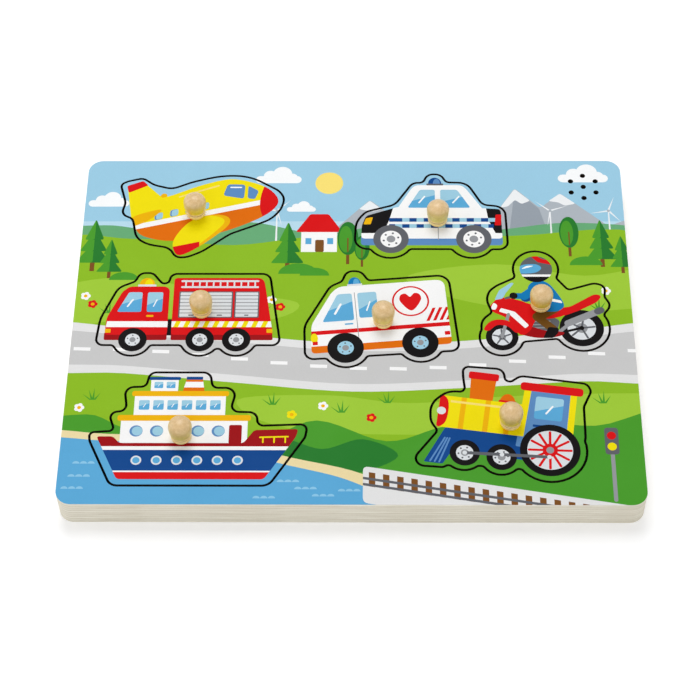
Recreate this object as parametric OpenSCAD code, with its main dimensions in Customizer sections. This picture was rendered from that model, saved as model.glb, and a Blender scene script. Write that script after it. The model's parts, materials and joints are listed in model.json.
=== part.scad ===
/* [Board] */
// Length of the board, from left to right
board_l = 300; // [285:1:340]
// Width of the board, from front to back
board_w = 225; // [212:1:260]
// Radius of the board's four corners
corner_r = 8; // [2:0.5:12]

/* [Layers] */
// Thickness of the back board, which the battery tray is let into
back_t = 6; // [5:0.1:8]
// Thickness of the core board, which holds the wiring
core_t = 6; // [5.5:0.1:8]
// Thickness of the printed sheet on the floor of the recesses
sheet_t = 0.2; // [0.1:0.05:0.4]
// Thickness of the top board and of the seven loose pieces
top_t = 5.6; // [4.5:0.1:8]
// Thickness of the printed sheet on top
print_t = 0.2; // [0.1:0.05:0.4]

/* [Fits] */
// Width of the saw gap around each loose piece
piece_gap = 1.3; // [0.8:0.1:1.8]
// Radial clearance of a glued pin or a screw in its hole
pin_fit = 0.03; // [0.01:0.01:0.1]
// Gap around the fixed electrical parts in their pockets
pocket_gap = 0.3; // [0.1:0.05:0.6]

/* [Outlines] */
// Radius of the notch where a round edge over a wheel meets the rest of the outline
notch_r = 2.6; // [1.5:0.1:4]

/* [Plane] */
// Length of the plane piece
plane_l = 92.5; // [86:0.5:98]
// Height of the plane piece
plane_h = 58; // [54:0.5:62]

/* [Fire engine] */
// Length of the fire engine piece
fire_l = 98.2; // [94:0.1:102]
// Height of the fire engine piece
fire_h = 54.7; // [52:0.1:58]
// Diameter of the round edge below each fire engine wheel
fire_wheel_d = 20.8; // [16:0.1:23]

/* [Ship] */
// Length of the ship piece
ship_l = 112.9; // [106:0.1:118]
// Height of the ship piece
ship_h = 69.3; // [64:0.1:73]

/* [Police car] */
// Length of the police car piece
police_l = 83.2; // [80:0.1:90]
// Height of the police car piece
police_h = 58.4; // [55:0.1:62]
// Diameter of the round edge below each police car wheel
police_wheel_d = 25.4; // [20:0.1:27]

/* [Ambulance] */
// Length of the ambulance piece
ambulance_l = 81.2; // [78:0.1:88]
// Height of the ambulance piece
ambulance_h = 63.2; // [60:0.1:67]
// Diameter of the round edge below each ambulance wheel
ambulance_wheel_d = 24.6; // [20:0.1:27]

/* [Motorbike] */
// Length of the motorbike piece
motorbike_l = 70.4; // [66:0.1:74]
// Height of the motorbike piece
motorbike_h = 69.3; // [65:0.1:74]
// Diameter of the round edge over the front wheel
front_wheel_d = 23.4; // [19:0.1:26]
// Diameter of the round edge over the rear wheel
rear_wheel_d = 29.6; // [25:0.1:33]
// Diameter of the round edge over the rider's helmet
helmet_d = 24.6; // [20:0.1:27]

/* [Locomotive] */
// Length of the locomotive piece
loco_l = 92; // [87:0.1:97]
// Height of the locomotive piece
loco_h = 71.4; // [67:0.1:75]
// Diameter of the round edge below each small wheel
small_wheel_d = 21.2; // [17:0.1:24]
// Diameter of the round edge below the driving wheel
driving_wheel_d = 37.8; // [33:0.1:41]

/* [Knobs] */
// Height of a knob above its piece
knob_h = 14.7; // [12:0.1:20]
// Diameter of the knob's egg-shaped head
knob_d = 12.3; // [11:0.1:16]
// Diameter of the knob's foot
foot_d = 10.8; // [9:0.1:11.5]
// Height of the knob's foot
foot_h = 2.6; // [1.5:0.1:3.5]
// Diameter of the groove between foot and head
neck_d = 9.8; // [8:0.1:10.4]
// Diameter of the pin that is glued into the piece
pin_d = 6; // [4:0.1:6.4]
// Depth of the pin's hole in the piece's board
pin_l = 4.4; // [3:0.1:4.4]

/* [Sound holes] */
// Diameter of each of the seven sound holes
sound_hole_d = 3; // [2:0.1:4]
// Radius of the ring of six sound holes
sound_ring_r = 8; // [6:0.1:9]
// Distance of the middle sound hole from the right edge
sound_side = 21.4; // [19:0.1:28]
// Distance of the middle sound hole from the far edge
sound_end = 18.9; // [18:0.1:28]

/* [Speaker] */
// Diameter of the speaker's basket
speaker_d = 28; // [25:0.1:30]
// Depth of the speaker's basket
basket_h = 3.8; // [3.5:0.1:4]
// Thickness of the basket's sheet metal
basket_t = 0.6; // [0.4:0.1:0.8]
// Diameter of the speaker's magnet
magnet_d = 14; // [10:0.1:18]
// Height of the speaker's magnet
magnet_h = 2; // [1:0.1:2.2]
// Thickness of the paper cone
cone_t = 0.4; // [0.2:0.05:0.6]

/* [Electronics] */
// Width of the circuit board, from left to right
circuit_w = 30; // [26:0.5:32]
// Length of the circuit board, from front to back
circuit_l = 50; // [46:0.5:54]
// Thickness of the circuit board
circuit_t = 1.2; // [0.8:0.1:1.6]
// Thickness of wood left above the pockets in the core board
pocket_roof = 1.5; // [1.2:0.1:2]
// Diameter of the sealed sound chip
chip_d = 10; // [7:0.1:14]
// Height of the sealed sound chip
chip_h = 1.8; // [1:0.1:2.4]
// Diameter of each light sensor
sensor_d = 5; // [3:0.1:8]
// Diameter of a wire with its insulation
wire_d = 1.2; // [0.8:0.1:1.3]
// Distance between the two wires of a pair
wire_pitch = 1.8; // [1.6:0.1:2.2]
// Width of the milled wire channels
channel_w = 4.2; // [3.8:0.1:5]

/* [Battery tray] */
// Diameter of a battery
battery_d = 10.5; // [9.5:0.1:10.8]
// Length of a battery with its nub
battery_l = 44.5; // [42:0.1:46]
// Distance between the two batteries, which leaves room for the screw boss
battery_gap = 6.4; // [6:0.1:8]
// Free space around a battery in its tray
battery_room = 0.3; // [0.2:0.05:0.5]
// Length taken by the contacts at each end of a battery
contact_room = 2.8; // [2.4:0.1:4]
// Wall thickness of the tray
tray_wall = 1.4; // [1:0.1:1.8]
// Width of the tray's flange around its opening
flange_w = 4; // [3:0.1:5]
// Length that the flange runs on at each end, for its screw
flange_ear = 9; // [8:0.1:12]
// Diameter of the boss that the door's screw turns in
boss_d = 5.4; // [4.5:0.1:5.6]

/* [Battery door] */
// Thickness of the battery door
door_t = 1.6; // [1.2:0.1:1.9]
// Thickness of the tray's flange, which the door is let into
flange_t = 2.8; // [2.4:0.1:3.4]
// Gap around the battery door
door_gap = 0.3; // [0.2:0.05:0.5]
// Depth of the door and the flange below the back face
door_sink = 0.2; // [0.1:0.05:0.4]
// Diameter of the door screw's thread
screw_d = 2.5; // [2:0.1:3]
// Diameter of the door screw's head
screw_head_d = 4.6; // [4.2:0.1:5.2]
// Length of the door screw
screw_l = 7; // [5:0.1:8]

/* [Hidden] */
$fn = 64;

// Steps per turn on the sawn outlines, and the longest straight step on a wide curve
edge_fn = 40;
wide_step = 3;

// Most of a side that the curve at one of its corners takes up
side_share = 0.49;

// Overrun of every cut past the face that it opens
over = 0.5;

// Heights of the layers above the surface that the board lies on
core_z = back_t;
sheet_z = core_z + core_t;
top_z = sheet_z + sheet_t;
print_z = top_z + top_t;
board_top = print_z + print_t;

// Heights in the wiring layer: the pockets are milled from below
pocket_z = sheet_z - pocket_roof;
solder_z = pocket_z - circuit_t;
wire_z = solder_z - wire_d / 2;
channel_z = solder_z + pocket_gap;

// Where each piece's middle lies, as shares of the board's length and width
plane_place_share = [-0.283, 0.324];
fire_place_share = [-0.293, 0.026];
ship_place_share = [-0.264, -0.297];
police_place_share = [0.142, 0.324];
ambulance_place_share = [0.052, 0.013];
motorbike_place_share = [0.3435, 0.06];
loco_place_share = [0.262, -0.282];

// Where each knob stands, as shares of its piece's length and height
plane_knob_share = [0.469, 0.53];
fire_knob_share = [0.569, 0.53];
ship_knob_share = [0.424, 0.421];
police_knob_share = [0.548, 0.445];
ambulance_knob_share = [0.51, 0.465];
motorbike_knob_share = [0.471, 0.471];
loco_knob_share = [0.538, 0.499];

// Corners of the outlines, as shares of each piece's length and height, with the radius of their
// curve as a share of the length
plane_shares = [
    [0, 0.89, 0.05], [0.05, 0.93, 0.07], [0.135, 0.965, 0.05], [0.205, 0.88, 0.13], [0.315, 0.83, 0.1],
    [0.44, 0.92, 0.6], [0.62, 1, 0.7], [0.785, 0.99, 0.4], [0.965, 0.81, 0.12], [1, 0.72, 0.17],
    [0.985, 0.59, 0.17], [0.925, 0.46, 0.3], [0.8, 0.365, 0.6], [0.68, 0.28, 0.2], [0.52, 0.07, 0.3],
    [0.43, 0, 0.16], [0.365, 0, 0.09], [0.325, 0.115, 0.09], [0.19, 0.155, 0.2], [0.12, 0.235, 0.12],
    [0.1, 0.4, 0.2], [0.09, 0.465, 0.05], [0.02, 0.52, 0.05], [0.04, 0.66, 0.09]
];
fire_shares = [
    [0, 0.125, 0.04], [0.015, 0.44, 0.2], [0.1, 0.82, 0.09], [0.19, 0.895, 0.04], [0.215, 1, 0.045],
    [0.285, 1, 0.045], [0.34, 0.87, 0.04], [0.375, 0.87, 0.03], [0.39, 0.99, 0.04], [0.935, 0.99, 0.05],
    [1.005, 0.125, 0.04]
];
ship_shares = [
    [0, 0.46, 0.04], [0.115, 0.475, 0.02], [0.08, 0.64, 0.055], [0.165, 0.65, 0.035],
    [0.145, 0.865, 0.04], [0.245, 0.87, 0.03], [0.26, 1, 0.035], [0.54, 1, 0.04], [0.555, 0.86, 0.03],
    [0.67, 0.86, 0.045], [0.64, 0.645, 0.035], [0.765, 0.64, 0.055], [0.77, 0.52, 0.03],
    [1, 0.535, 0.04], [0.99, 0.42, 0.055], [0.83, 0, 0.06], [0.115, 0, 0.05], [0.005, 0.385, 0.07]
];
police_shares = [
    [-0.005, 0.105, 0.085], [0.005, 0.43, 0.17], [0.07, 0.55, 0.085], [0.265, 0.635, 0.11],
    [0.385, 0.905, 0.085], [0.455, 0.905, 0.04], [0.485, 1.01, 0.065], [0.575, 1.01, 0.065],
    [0.61, 0.91, 0.04], [0.75, 0.905, 0.1], [0.85, 0.635, 0.07], [1, 0.61, 0.08], [1.01, 0.1, 0.06]
];
ambulance_shares = [
    [0, 0.075, 0.06], [-0.01, 0.42, 0.17], [0.155, 0.835, 0.1], [0.235, 0.89, 0.045], [0.265, 1, 0.06],
    [0.36, 1, 0.07], [0.41, 0.9, 0.035], [0.945, 0.96, 0.08], [1.01, 0.17, 0.055]
];
motorbike_shares = [
    [0.015, 0.33, 0.17], [0.1, 0.405, 0.035], [0.06, 0.52, 0.14], [0.08, 0.61, 0.14],
    [0.145, 0.665, 0.17], [0.285, 0.74, 0.04], [0.6, 0.74, 0.04], [0.69, 0.62, 0.04], [0.9, 0.69, 0.1],
    [0.975, 0.655, 0.08], [0.965, 0.555, 0.04], [1.01, 0.47, 0.07], [0.94, 0.375, 0.035],
    [0.575, 0.155, 0.04], [0.34, 0.13, 0.04], [0.015, 0.2, 0.04]
];
loco_shares = [
    [-0.04, 0.145, 0.05], [0.155, 0.125, 0.03], [0.19, 0.15, 0.03], [0.37, 0.135, 0.03],
    [0.575, 0.11, 0.03], [0.955, 0.3, 0.1], [0.957, 0.64, 0.06], [1.005, 0.775, 0.045],
    [0.985, 0.84, 0.055], [0.605, 0.91, 0.065], [0.555, 0.86, 0.04], [0.52, 0.86, 0.025],
    [0.51, 0.97, 0.05], [0.28, 0.995, 0.05], [0.28, 0.9, 0.2], [0.29, 0.77, 0.025], [0.19, 0.775, 0.11],
    [0.09, 0.67, 0.15], [0.09, 0.51, 0.11], [0.13, 0.435, 0.03]
];

// Middles of the round edges, as shares of each piece's length and height
fire_wheel_shares = [[0.198, 0.19], [0.566, 0.19], [0.766, 0.19]];
police_wheel_shares = [[0.232, 0.216], [0.77, 0.216]];
ambulance_wheel_shares = [[0.268, 0.193], [0.755, 0.248]];
front_wheel_shares = [[0.165, 0.169]];
rear_wheel_shares = [[0.777, 0.257]];
helmet_shares = [[0.448, 0.822]];
small_wheel_shares = [[0.273, 0.249], [0.479, 0.21]];
driving_wheel_shares = [[0.754, 0.267]];

// Length and width of the board that the pieces are drawn for; they grow and shrink with the real one
drawn_l = 300;
drawn_w = 225;
function fitted(size) = [size.x * board_l / drawn_l, size.y * board_w / drawn_w];

// One row for each piece: name, place, size, knob
PIECES = [
    ["plane", plane_place_share, fitted([plane_l, plane_h]), plane_knob_share],
    ["fire_engine", fire_place_share, fitted([fire_l, fire_h]), fire_knob_share],
    ["ship", ship_place_share, fitted([ship_l, ship_h]), ship_knob_share],
    ["police_car", police_place_share, fitted([police_l, police_h]), police_knob_share],
    ["ambulance", ambulance_place_share, fitted([ambulance_l, ambulance_h]), ambulance_knob_share],
    ["motorbike", motorbike_place_share, fitted([motorbike_l, motorbike_h]), motorbike_knob_share],
    ["locomotive", loco_place_share, fitted([loco_l, loco_h]), loco_knob_share]
];

// The row of one piece, by its name
function piece(name) = [for (row = PIECES) if (row[0] == name) row][0];

// A place given as shares of the board, from its middle
function on_board(share) = [share.x * board_l, share.y * board_w];

// Places given as shares of a piece's box, from its middle
function in_box(shares, size) =
    [for (share = shares) [(share.x - 0.5) * size.x, (share.y - 0.5) * size.y]];

// Where a piece's middle and its knob are on the board
function middle(name) = on_board(piece(name)[1]);
function knob_at(name) = middle(name) + in_box([piece(name)[3]], piece(name)[2])[0];

// Places of the speaker, the circuit board and the battery tray
speaker_at = [board_l / 2 - sound_side, board_w / 2 - sound_end];
circuit_place_share = [-0.053, 0];
circuit_at = on_board(circuit_place_share);
tray_place_share = [-0.063, 0.32];
tray_at = on_board(tray_place_share);

// Sizes of the tray, worked out from the batteries in it
cavity = [2 * battery_d + battery_gap + 2 * battery_room, battery_l + 2 * contact_room];
shell = [cavity.x + 2 * tray_wall, cavity.y + 2 * tray_wall];
flange = [shell.x + 2 * flange_w, shell.y + 2 * flange_w];
tray_z = door_sink + door_t;
battery_z = tray_z + battery_room + battery_d / 2;
cavity_z = battery_z + battery_d / 2 + battery_room;
tray_top = cavity_z + tray_wall;
battery_x = (battery_d + battery_gap) / 2;
flange_r = tray_wall + flange_w / 2;
ear_l = shell.y + 2 * flange_ear;
ear_screw_y = shell.y / 2 + flange_ear / 2;

// Sizes of the small parts on the circuit board and in the tray
nub_d = 3.8;
nub_l = 1;
contact_t = 0.4;
contact_w = 8;
contact_margin = 1;
dimple_l = 0.8;
dimple_d = 3;
spring_d = 6;
tag_w = 2.4;
tag_l = 2;
chip_part = [3.2, 1.6, 0.7];
chip_part_pitch = 4;
can_d = 2.4;
can_l = 7;
pad_d = 1.8;
pad_reach = 3;
sensor_window_d = 3.4;
sensor_window_h = 0.3;
tray_screw_d = 2.2;
tray_screw_head_d = 4.2;
tray_screw_l = 4.8;
drive_w = 0.6;
drive_depth_share = 0.55;
drive_length_share = 0.6;
cone_r_shares = [0.94, 0.8, 0.32];
cone_drop_share = 0.4;
chip_place_share = [0.1, 0.12];
parts_place_share = [0.1, -0.22];
can_place_share = [-0.15, -0.3];
door_rim = 2.4;
door_panel_sink = 0.3;

// A rectangle with round corners, in the middle
module round_rect(size, r) {
    square([size.x - 2 * r, size.y], center = true);
    square([size.x, size.y - 2 * r], center = true);
    for (x = [-1, 1], y = [-1, 1]) {
        translate([x * (size.x / 2 - r), y * (size.y / 2 - r)]) circle(r = r);
    }
}

// The points of one rounded corner: an arc that touches both of its sides
function corner_arc(before, at, after, r) =
    let (
        u = (before - at) / norm(before - at),
        v = (after - at) / norm(after - at),
        half = acos(u * v) / 2,
        room = side_share * min(norm(before - at), norm(after - at)),
        reach = min(r / tan(half), room),
        centre = at + (u + v) / norm(u + v) * reach / cos(half),
        start = at + reach * u - centre,
        end = at + reach * v - centre,
        turn = atan2(start.x * end.y - start.y * end.x, start * end),
        arc_l = abs(turn) / 180 * PI * reach * tan(half),
        steps = ceil(max(abs(turn) * edge_fn / 360, arc_l / wide_step))
    )
    [for (i = [0 : steps])
        let (a = turn * i / steps)
        centre + [start.x * cos(a) - start.y * sin(a), start.x * sin(a) + start.y * cos(a)]
    ];

// The points of an outline with all its corners rounded
function rounded(corners, size) =
    let (at = in_box(corners, size), n = len(corners))
    [for (i = [0 : n - 1])
        each corner_arc(at[(i + n - 1) % n], at[i], at[(i + 1) % n], corners[i].z * size.x)
    ];

// An outline with round edges: middles and diameter of each set of round edges
module vehicle(size, corners, rounds) {
    offset(r = -notch_r, $fn = edge_fn) offset(delta = notch_r) {
        polygon(rounded(corners, size));
        for (set = rounds, at = in_box(set[0], size)) {
            translate(at) circle(d = set[1] * board_l / drawn_l, $fn = edge_fn);
        }
    }
}

// The middle of the saw cut around each piece, in the piece's own place
module outline(name) {
    size = piece(name)[2];
    if (name == "plane") polygon(rounded(plane_shares, size));
    if (name == "fire_engine") vehicle(size, fire_shares, [[fire_wheel_shares, fire_wheel_d]]);
    if (name == "ship") polygon(rounded(ship_shares, size));
    if (name == "police_car") vehicle(size, police_shares, [[police_wheel_shares, police_wheel_d]]);
    if (name == "ambulance") {
        vehicle(size, ambulance_shares, [[ambulance_wheel_shares, ambulance_wheel_d]]);
    }
    if (name == "motorbike") {
        vehicle(size, motorbike_shares, [
            [front_wheel_shares, front_wheel_d],
            [rear_wheel_shares, rear_wheel_d],
            [helmet_shares, helmet_d]
        ]);
    }
    if (name == "locomotive") {
        vehicle(size, loco_shares, [
            [small_wheel_shares, small_wheel_d],
            [driving_wheel_shares, driving_wheel_d]
        ]);
    }
}

// The face of the board with its seven cut-outs
module cut_face() {
    difference() {
        round_rect([board_l, board_w], corner_r);
        for (row = PIECES) {
            translate(middle(row[0])) offset(delta = piece_gap / 2) outline(row[0]);
        }
    }
}

// The seven sound holes, as rods to cut with
module sound_holes(z, h) {
    places = concat([[0, 0]], [for (i = [0 : 5]) sound_ring_r * [cos(i * 60 + 30), sin(i * 60 + 30)]]);
    for (at = places) {
        translate([speaker_at.x + at.x, speaker_at.y + at.y, z]) cylinder(d = sound_hole_d, h = h);
    }
}

// The space that the battery tray takes up in the boards
module tray_space() {
    translate([tray_at.x, tray_at.y, -over]) {
        linear_extrude(tray_top + pocket_gap + over) {
            square([shell.x + 2 * pocket_gap, shell.y + 2 * pocket_gap], center = true);
        }
    }
}

// The printed sheet on the top board
module board_print() {
    color([0.56, 0.74, 0.3]) difference() {
        translate([0, 0, print_z]) linear_extrude(print_t) cut_face();
        sound_holes(print_z - over, print_t + 2 * over);
    }
}

// The plywood board that the pieces are cut out of
module top_board() {
    color([0.85, 0.78, 0.64]) difference() {
        translate([0, 0, top_z]) linear_extrude(top_t) cut_face();
        sound_holes(top_z - over, top_t + 2 * over);
        tray_space();
    }
}

// The printed sheet between the boards, seen on the floor of the recesses
module recess_sheet() {
    color([0.8, 0.87, 0.7]) difference() {
        translate([0, 0, sheet_z]) linear_extrude(sheet_t) round_rect([board_l, board_w], corner_r);
        tray_space();
        translate([speaker_at.x, speaker_at.y, sheet_z - over]) {
            cylinder(r = speaker_d / 2 + pocket_gap, h = sheet_t + 2 * over);
        }
        for (row = PIECES) {
            at = middle(row[0]);
            translate([at.x, at.y, sheet_z - over]) cylinder(d = sensor_window_d, h = sheet_t + 2 * over);
        }
    }
}

// Corners of the wire routes, from where the pair starts to its pads on the circuit board.
// Each pair runs sideways to a lane, along the lane, and sideways again to its pads. The motorbike's
// pair has its corner at its sensor instead, and comes straight to its pads from there.
function route(start, lane_x, pad) = [start, [lane_x, start.y], [lane_x, pad.y], pad];
function pad(side, share) =
    circuit_at + [side * (circuit_w / 2 - pad_reach), share * circuit_l];
left_lane = tray_at.x - shell.x / 2 - 2 * channel_w;
inner_lane = circuit_at.x + circuit_w / 2 + channel_w;
middle_lane = inner_lane + 1.5 * channel_w;
outer_lane = middle_lane + 1.5 * channel_w;
sensor_routes = [
    route(middle("plane"), left_lane, pad(-1, 0.3)),
    route(middle("fire_engine"), left_lane, pad(-1, 0)),
    route(middle("ship"), left_lane, pad(-1, -0.3)),
    route(middle("police_car"), outer_lane, pad(1, 0.28)),
    [middle("motorbike"), [middle("motorbike").x, pad(1, 0.17).y], pad(1, 0.17)],
    route(middle("ambulance"), inner_lane, pad(1, 0)),
    route(middle("locomotive"), middle_lane, pad(1, -0.2))
];
speaker_route = route(speaker_at - [speaker_d / 2, 0], middle_lane, pad(1, 0.38));
battery_routes = [for (side = [-1, 1])
    let (x = tray_at.x + side * battery_x)
    [[x, tray_at.y - shell.y / 2 - tag_l], [x, circuit_at.y + circuit_l / 2 - pad_d]]
];

// A strip along a route, to mill a channel with
module channel(points) {
    for (i = [0 : len(points) - 2]) {
        along = points[i + 1] - points[i];
        translate([points[i].x, points[i].y, core_z - over]) rotate(atan2(along.y, along.x)) {
            translate([-channel_w / 2, -channel_w / 2, 0]) {
                cube([norm(along) + channel_w, channel_w, channel_z - core_z + over]);
            }
        }
    }
}

// The plywood board under the recesses, milled from below for the wiring
module core_board() {
    color([0.82, 0.74, 0.6]) difference() {
        translate([0, 0, core_z]) linear_extrude(core_t) round_rect([board_l, board_w], corner_r);
        tray_space();
        translate([speaker_at.x, speaker_at.y, core_z - over]) {
            cylinder(r = speaker_d / 2 + pocket_gap, h = core_t + 2 * over);
        }
        translate([circuit_at.x, circuit_at.y, (core_z - over + pocket_z) / 2]) {
            cube([
                circuit_w + 2 * pocket_gap,
                circuit_l + 2 * pocket_gap,
                pocket_z - core_z + over
            ], center = true);
        }
        for (points = concat(sensor_routes, [speaker_route], battery_routes)) channel(points);
        for (row = PIECES) {
            at = middle(row[0]);
            translate([at.x, at.y, core_z - over]) cylinder(r = sensor_d / 2 + pin_fit, h = core_t + 2 * over);
        }
    }
}

// The shape of the tray's flange: a frame with an ear for a screw at each end
module flange_shape(grow) {
    round_rect([flange.x + 2 * grow, flange.y + 2 * grow], flange_r + grow);
    round_rect([2 * flange_ear + 2 * grow, ear_l + 2 * grow], flange_r + grow);
}

// The plywood board at the back, with the rebate for the battery tray
module back_board() {
    color([0.84, 0.77, 0.63]) difference() {
        linear_extrude(back_t) round_rect([board_l, board_w], corner_r);
        tray_space();
        translate([tray_at.x, tray_at.y, -over]) linear_extrude(door_sink + flange_t + over) {
            flange_shape(pocket_gap);
        }
        for (side = [-1, 1]) {
            translate([tray_at.x, tray_at.y + side * ear_screw_y, 0]) {
                cylinder(r = tray_screw_d / 2 + pin_fit, h = tray_screw_l + door_sink + pocket_gap);
            }
        }
    }
}

// One loose piece: its plywood body with the blind hole for the knob's pin
module piece_board(name) {
    at = middle(name);
    knob = knob_at(name);
    color([0.83, 0.75, 0.6]) difference() {
        translate([at.x, at.y, top_z]) {
            linear_extrude(top_t) offset(delta = -piece_gap / 2) outline(name);
        }
        translate([knob.x, knob.y, print_z - pin_l]) cylinder(r = pin_d / 2 + pin_fit, h = pin_l + over);
    }
}

// The printed sheet on a loose piece
module piece_print(name, tint) {
    at = middle(name);
    knob = knob_at(name);
    color(tint) difference() {
        translate([at.x, at.y, print_z]) {
            linear_extrude(print_t) offset(delta = -piece_gap / 2) outline(name);
        }
        translate([knob.x, knob.y, print_z - over]) {
            cylinder(r = pin_d / 2 + pin_fit, h = print_t + 2 * over);
        }
    }
}

// Half of a knob's outline: pin, foot with a round edge, groove and egg-shaped head
foot_r = foot_d / 2;
neck_r = neck_d / 2;
head_r = knob_d / 2;
head_low = foot_h + (knob_h - foot_h) * 0.08;
head_mid = foot_h + (knob_h - foot_h) * 0.6;
foot_round = foot_h / 2;
arc_step = 10;
function foot_arc() = [for (a = [-90 : 2 * arc_step : 90])
    [foot_r - foot_round + foot_round * cos(a), foot_round + foot_round * sin(a)]
];
function head_under() = [for (a = [-90 : arc_step : 0])
    [neck_r + (head_r - neck_r) * cos(a), head_mid + (head_mid - head_low) * sin(a)]
];
function head_over() = [for (a = [arc_step : arc_step : 90 - arc_step])
    [head_r * cos(a), head_mid + (knob_h - head_mid) * sin(a)]
];

// A turned knob, glued into its piece
module knob(name) {
    at = knob_at(name);
    color([0.88, 0.75, 0.55]) translate([at.x, at.y, board_top]) rotate_extrude() {
        polygon(concat(
            [[0, -print_t - pin_l + pocket_gap], [pin_d / 2, -print_t - pin_l + pocket_gap], [pin_d / 2, 0]],
            foot_arc(), head_under(), head_over(), [[0, knob_h]]
        ));
    }
}

// The speaker's sheet metal basket, open to the sound holes
module speaker_basket() {
    color([0.55, 0.56, 0.58]) translate([speaker_at.x, speaker_at.y, top_z - basket_h]) difference() {
        cylinder(d = speaker_d, h = basket_h);
        translate([0, 0, basket_t]) cylinder(r = speaker_d / 2 - basket_t, h = basket_h);
    }
}

// The speaker's magnet, under its basket
module speaker_magnet() {
    color([0.25, 0.25, 0.27]) translate([speaker_at.x, speaker_at.y, top_z - basket_h - magnet_h]) {
        cylinder(d = magnet_d, h = magnet_h);
    }
}

// The paper cone, on the basket's wall at its rim and on the basket's floor at its middle
module speaker_cone() {
    rim_r = speaker_d / 2 - basket_t;
    drop = basket_h * cone_drop_share;
    high = basket_h - cone_t;
    radii = [for (share = cone_r_shares) rim_r * share];
    color([0.2, 0.2, 0.2]) translate([speaker_at.x, speaker_at.y, top_z - basket_h]) rotate_extrude() {
        polygon([
            [0, basket_t], [radii[2], basket_t], [radii[2], high - drop], [radii[1], high - cone_t],
            [radii[0], high - cone_t], [rim_r, high - cone_t], [rim_r, high], [radii[0], high],
            [radii[1], high], [radii[2], high - drop + cone_t], [0, high - drop + 2 * cone_t]
        ]);
    }
}

// The circuit board, against the roof of its pocket
module circuit_board() {
    color([0.1, 0.4, 0.2]) translate([circuit_at.x, circuit_at.y, solder_z + circuit_t / 2]) {
        cube([circuit_w, circuit_l, circuit_t], center = true);
    }
}

// The sound chip under its drop of resin
module sound_chip() {
    at = circuit_at + [chip_place_share.x * circuit_w, chip_place_share.y * circuit_l];
    color([0.08, 0.08, 0.09]) translate([at.x, at.y, solder_z]) rotate_extrude() {
        polygon(concat([[0, 0]], [for (a = [0 : -arc_step : -90]) [chip_d / 2 * cos(a), chip_h * sin(a)]]));
    }
}

// Resistors, a capacitor and the solder pads, all on the underside of the circuit board
module circuit_parts() {
    row_at = circuit_at + [parts_place_share.x * circuit_w, parts_place_share.y * circuit_l];
    can_at = circuit_at + [can_place_share.x * circuit_w, can_place_share.y * circuit_l];
    color([0.7, 0.68, 0.62]) {
        for (x = [-1 : 1], y = [-0.5, 0.5]) {
            translate([
                row_at.x + x * chip_part_pitch,
                row_at.y + y * chip_part_pitch,
                solder_z - chip_part.z / 2
            ]) cube(chip_part, center = true);
        }
        translate([can_at.x, can_at.y, solder_z - can_d / 2]) rotate([90, 0, 0]) {
            cylinder(d = can_d, h = can_l, center = true);
        }
        for (points = concat(sensor_routes, [speaker_route]), side = [-1, 1]) {
            end = points[len(points) - 1];
            inward = sign(circuit_at.x - end.x) * pad_d / 2;
            translate([end.x + inward, end.y + side * wire_pitch / 2, solder_z - wire_d]) {
                cylinder(d = pad_d, h = wire_d);
            }
        }
        for (points = battery_routes) {
            translate([points[1].x, points[1].y - pad_d / 2, solder_z - wire_d]) cylinder(d = pad_d, h = wire_d);
        }
    }
}

// One light sensor under each piece, level with the floor of its recess
module light_sensors() {
    for (row = PIECES) {
        at = middle(row[0]);
        color([0.75, 0.45, 0.3]) translate([at.x, at.y, solder_z]) {
            cylinder(d = sensor_d, h = sheet_z - solder_z);
        }
    }
}

// How far a ring leans at a corner of a route, so that the tube keeps its width
function side_of(points, i) =
    let (
        before = i > 0 ? points[i] - points[i - 1] : points[1] - points[0],
        after = i < len(points) - 1 ? points[i + 1] - points[i] : before,
        a = [-before.y, before.x] / norm(before),
        b = [-after.y, after.x] / norm(after)
    )
    (a + b) / (1 + a * b);

// A route moved sideways by a distance
function beside(points, away) = [for (i = [0 : len(points) - 1]) points[i] + away * side_of(points, i)];

// A wire of eight sides along a level route
wire_sides = 8;
module wire(points) {
    rings = [for (i = [0 : len(points) - 1], k = [0 : wire_sides - 1])
        let (
            a = (k + 0.5) * 360 / wire_sides,
            r = wire_d / 2 / cos(180 / wire_sides),
            out = points[i] + r * cos(a) * side_of(points, i)
        )
        [out.x, out.y, wire_z + r * sin(a)]
    ];
    last = len(points) - 1;
    polyhedron(
        points = rings,
        faces = concat(
            [[for (k = [0 : wire_sides - 1]) k]],
            [for (i = [0 : last - 1], k = [0 : wire_sides - 1])
                let (n = (k + 1) % wire_sides)
                [i * wire_sides + n, i * wire_sides + k, (i + 1) * wire_sides + k, (i + 1) * wire_sides + n]
            ],
            [[for (k = [wire_sides - 1 : -1 : 0]) last * wire_sides + k]]
        )
    );
}

// The pairs of wires from the light sensors to the circuit board
module sensor_wires() {
    for (points = sensor_routes, side = [-1, 1]) {
        color(side > 0 ? [0.75, 0.1, 0.1] : [0.1, 0.1, 0.1]) wire(beside(points, side * wire_pitch / 2));
    }
}

// The pair of wires from the speaker to the circuit board
module speaker_wires() {
    for (side = [-1, 1]) {
        color(side > 0 ? [0.9, 0.8, 0.2] : [0.3, 0.3, 0.3]) wire(beside(speaker_route, side * wire_pitch / 2));
    }
}

// The two wires from the battery tray to the circuit board
module battery_wires() {
    color([0.75, 0.1, 0.1]) wire(battery_routes[0]);
    color([0.1, 0.1, 0.1]) wire(battery_routes[1]);
}

// The places of the two batteries: side of the tray and which way the nub points
battery_sides = [[-1, 1], [1, -1]];

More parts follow.
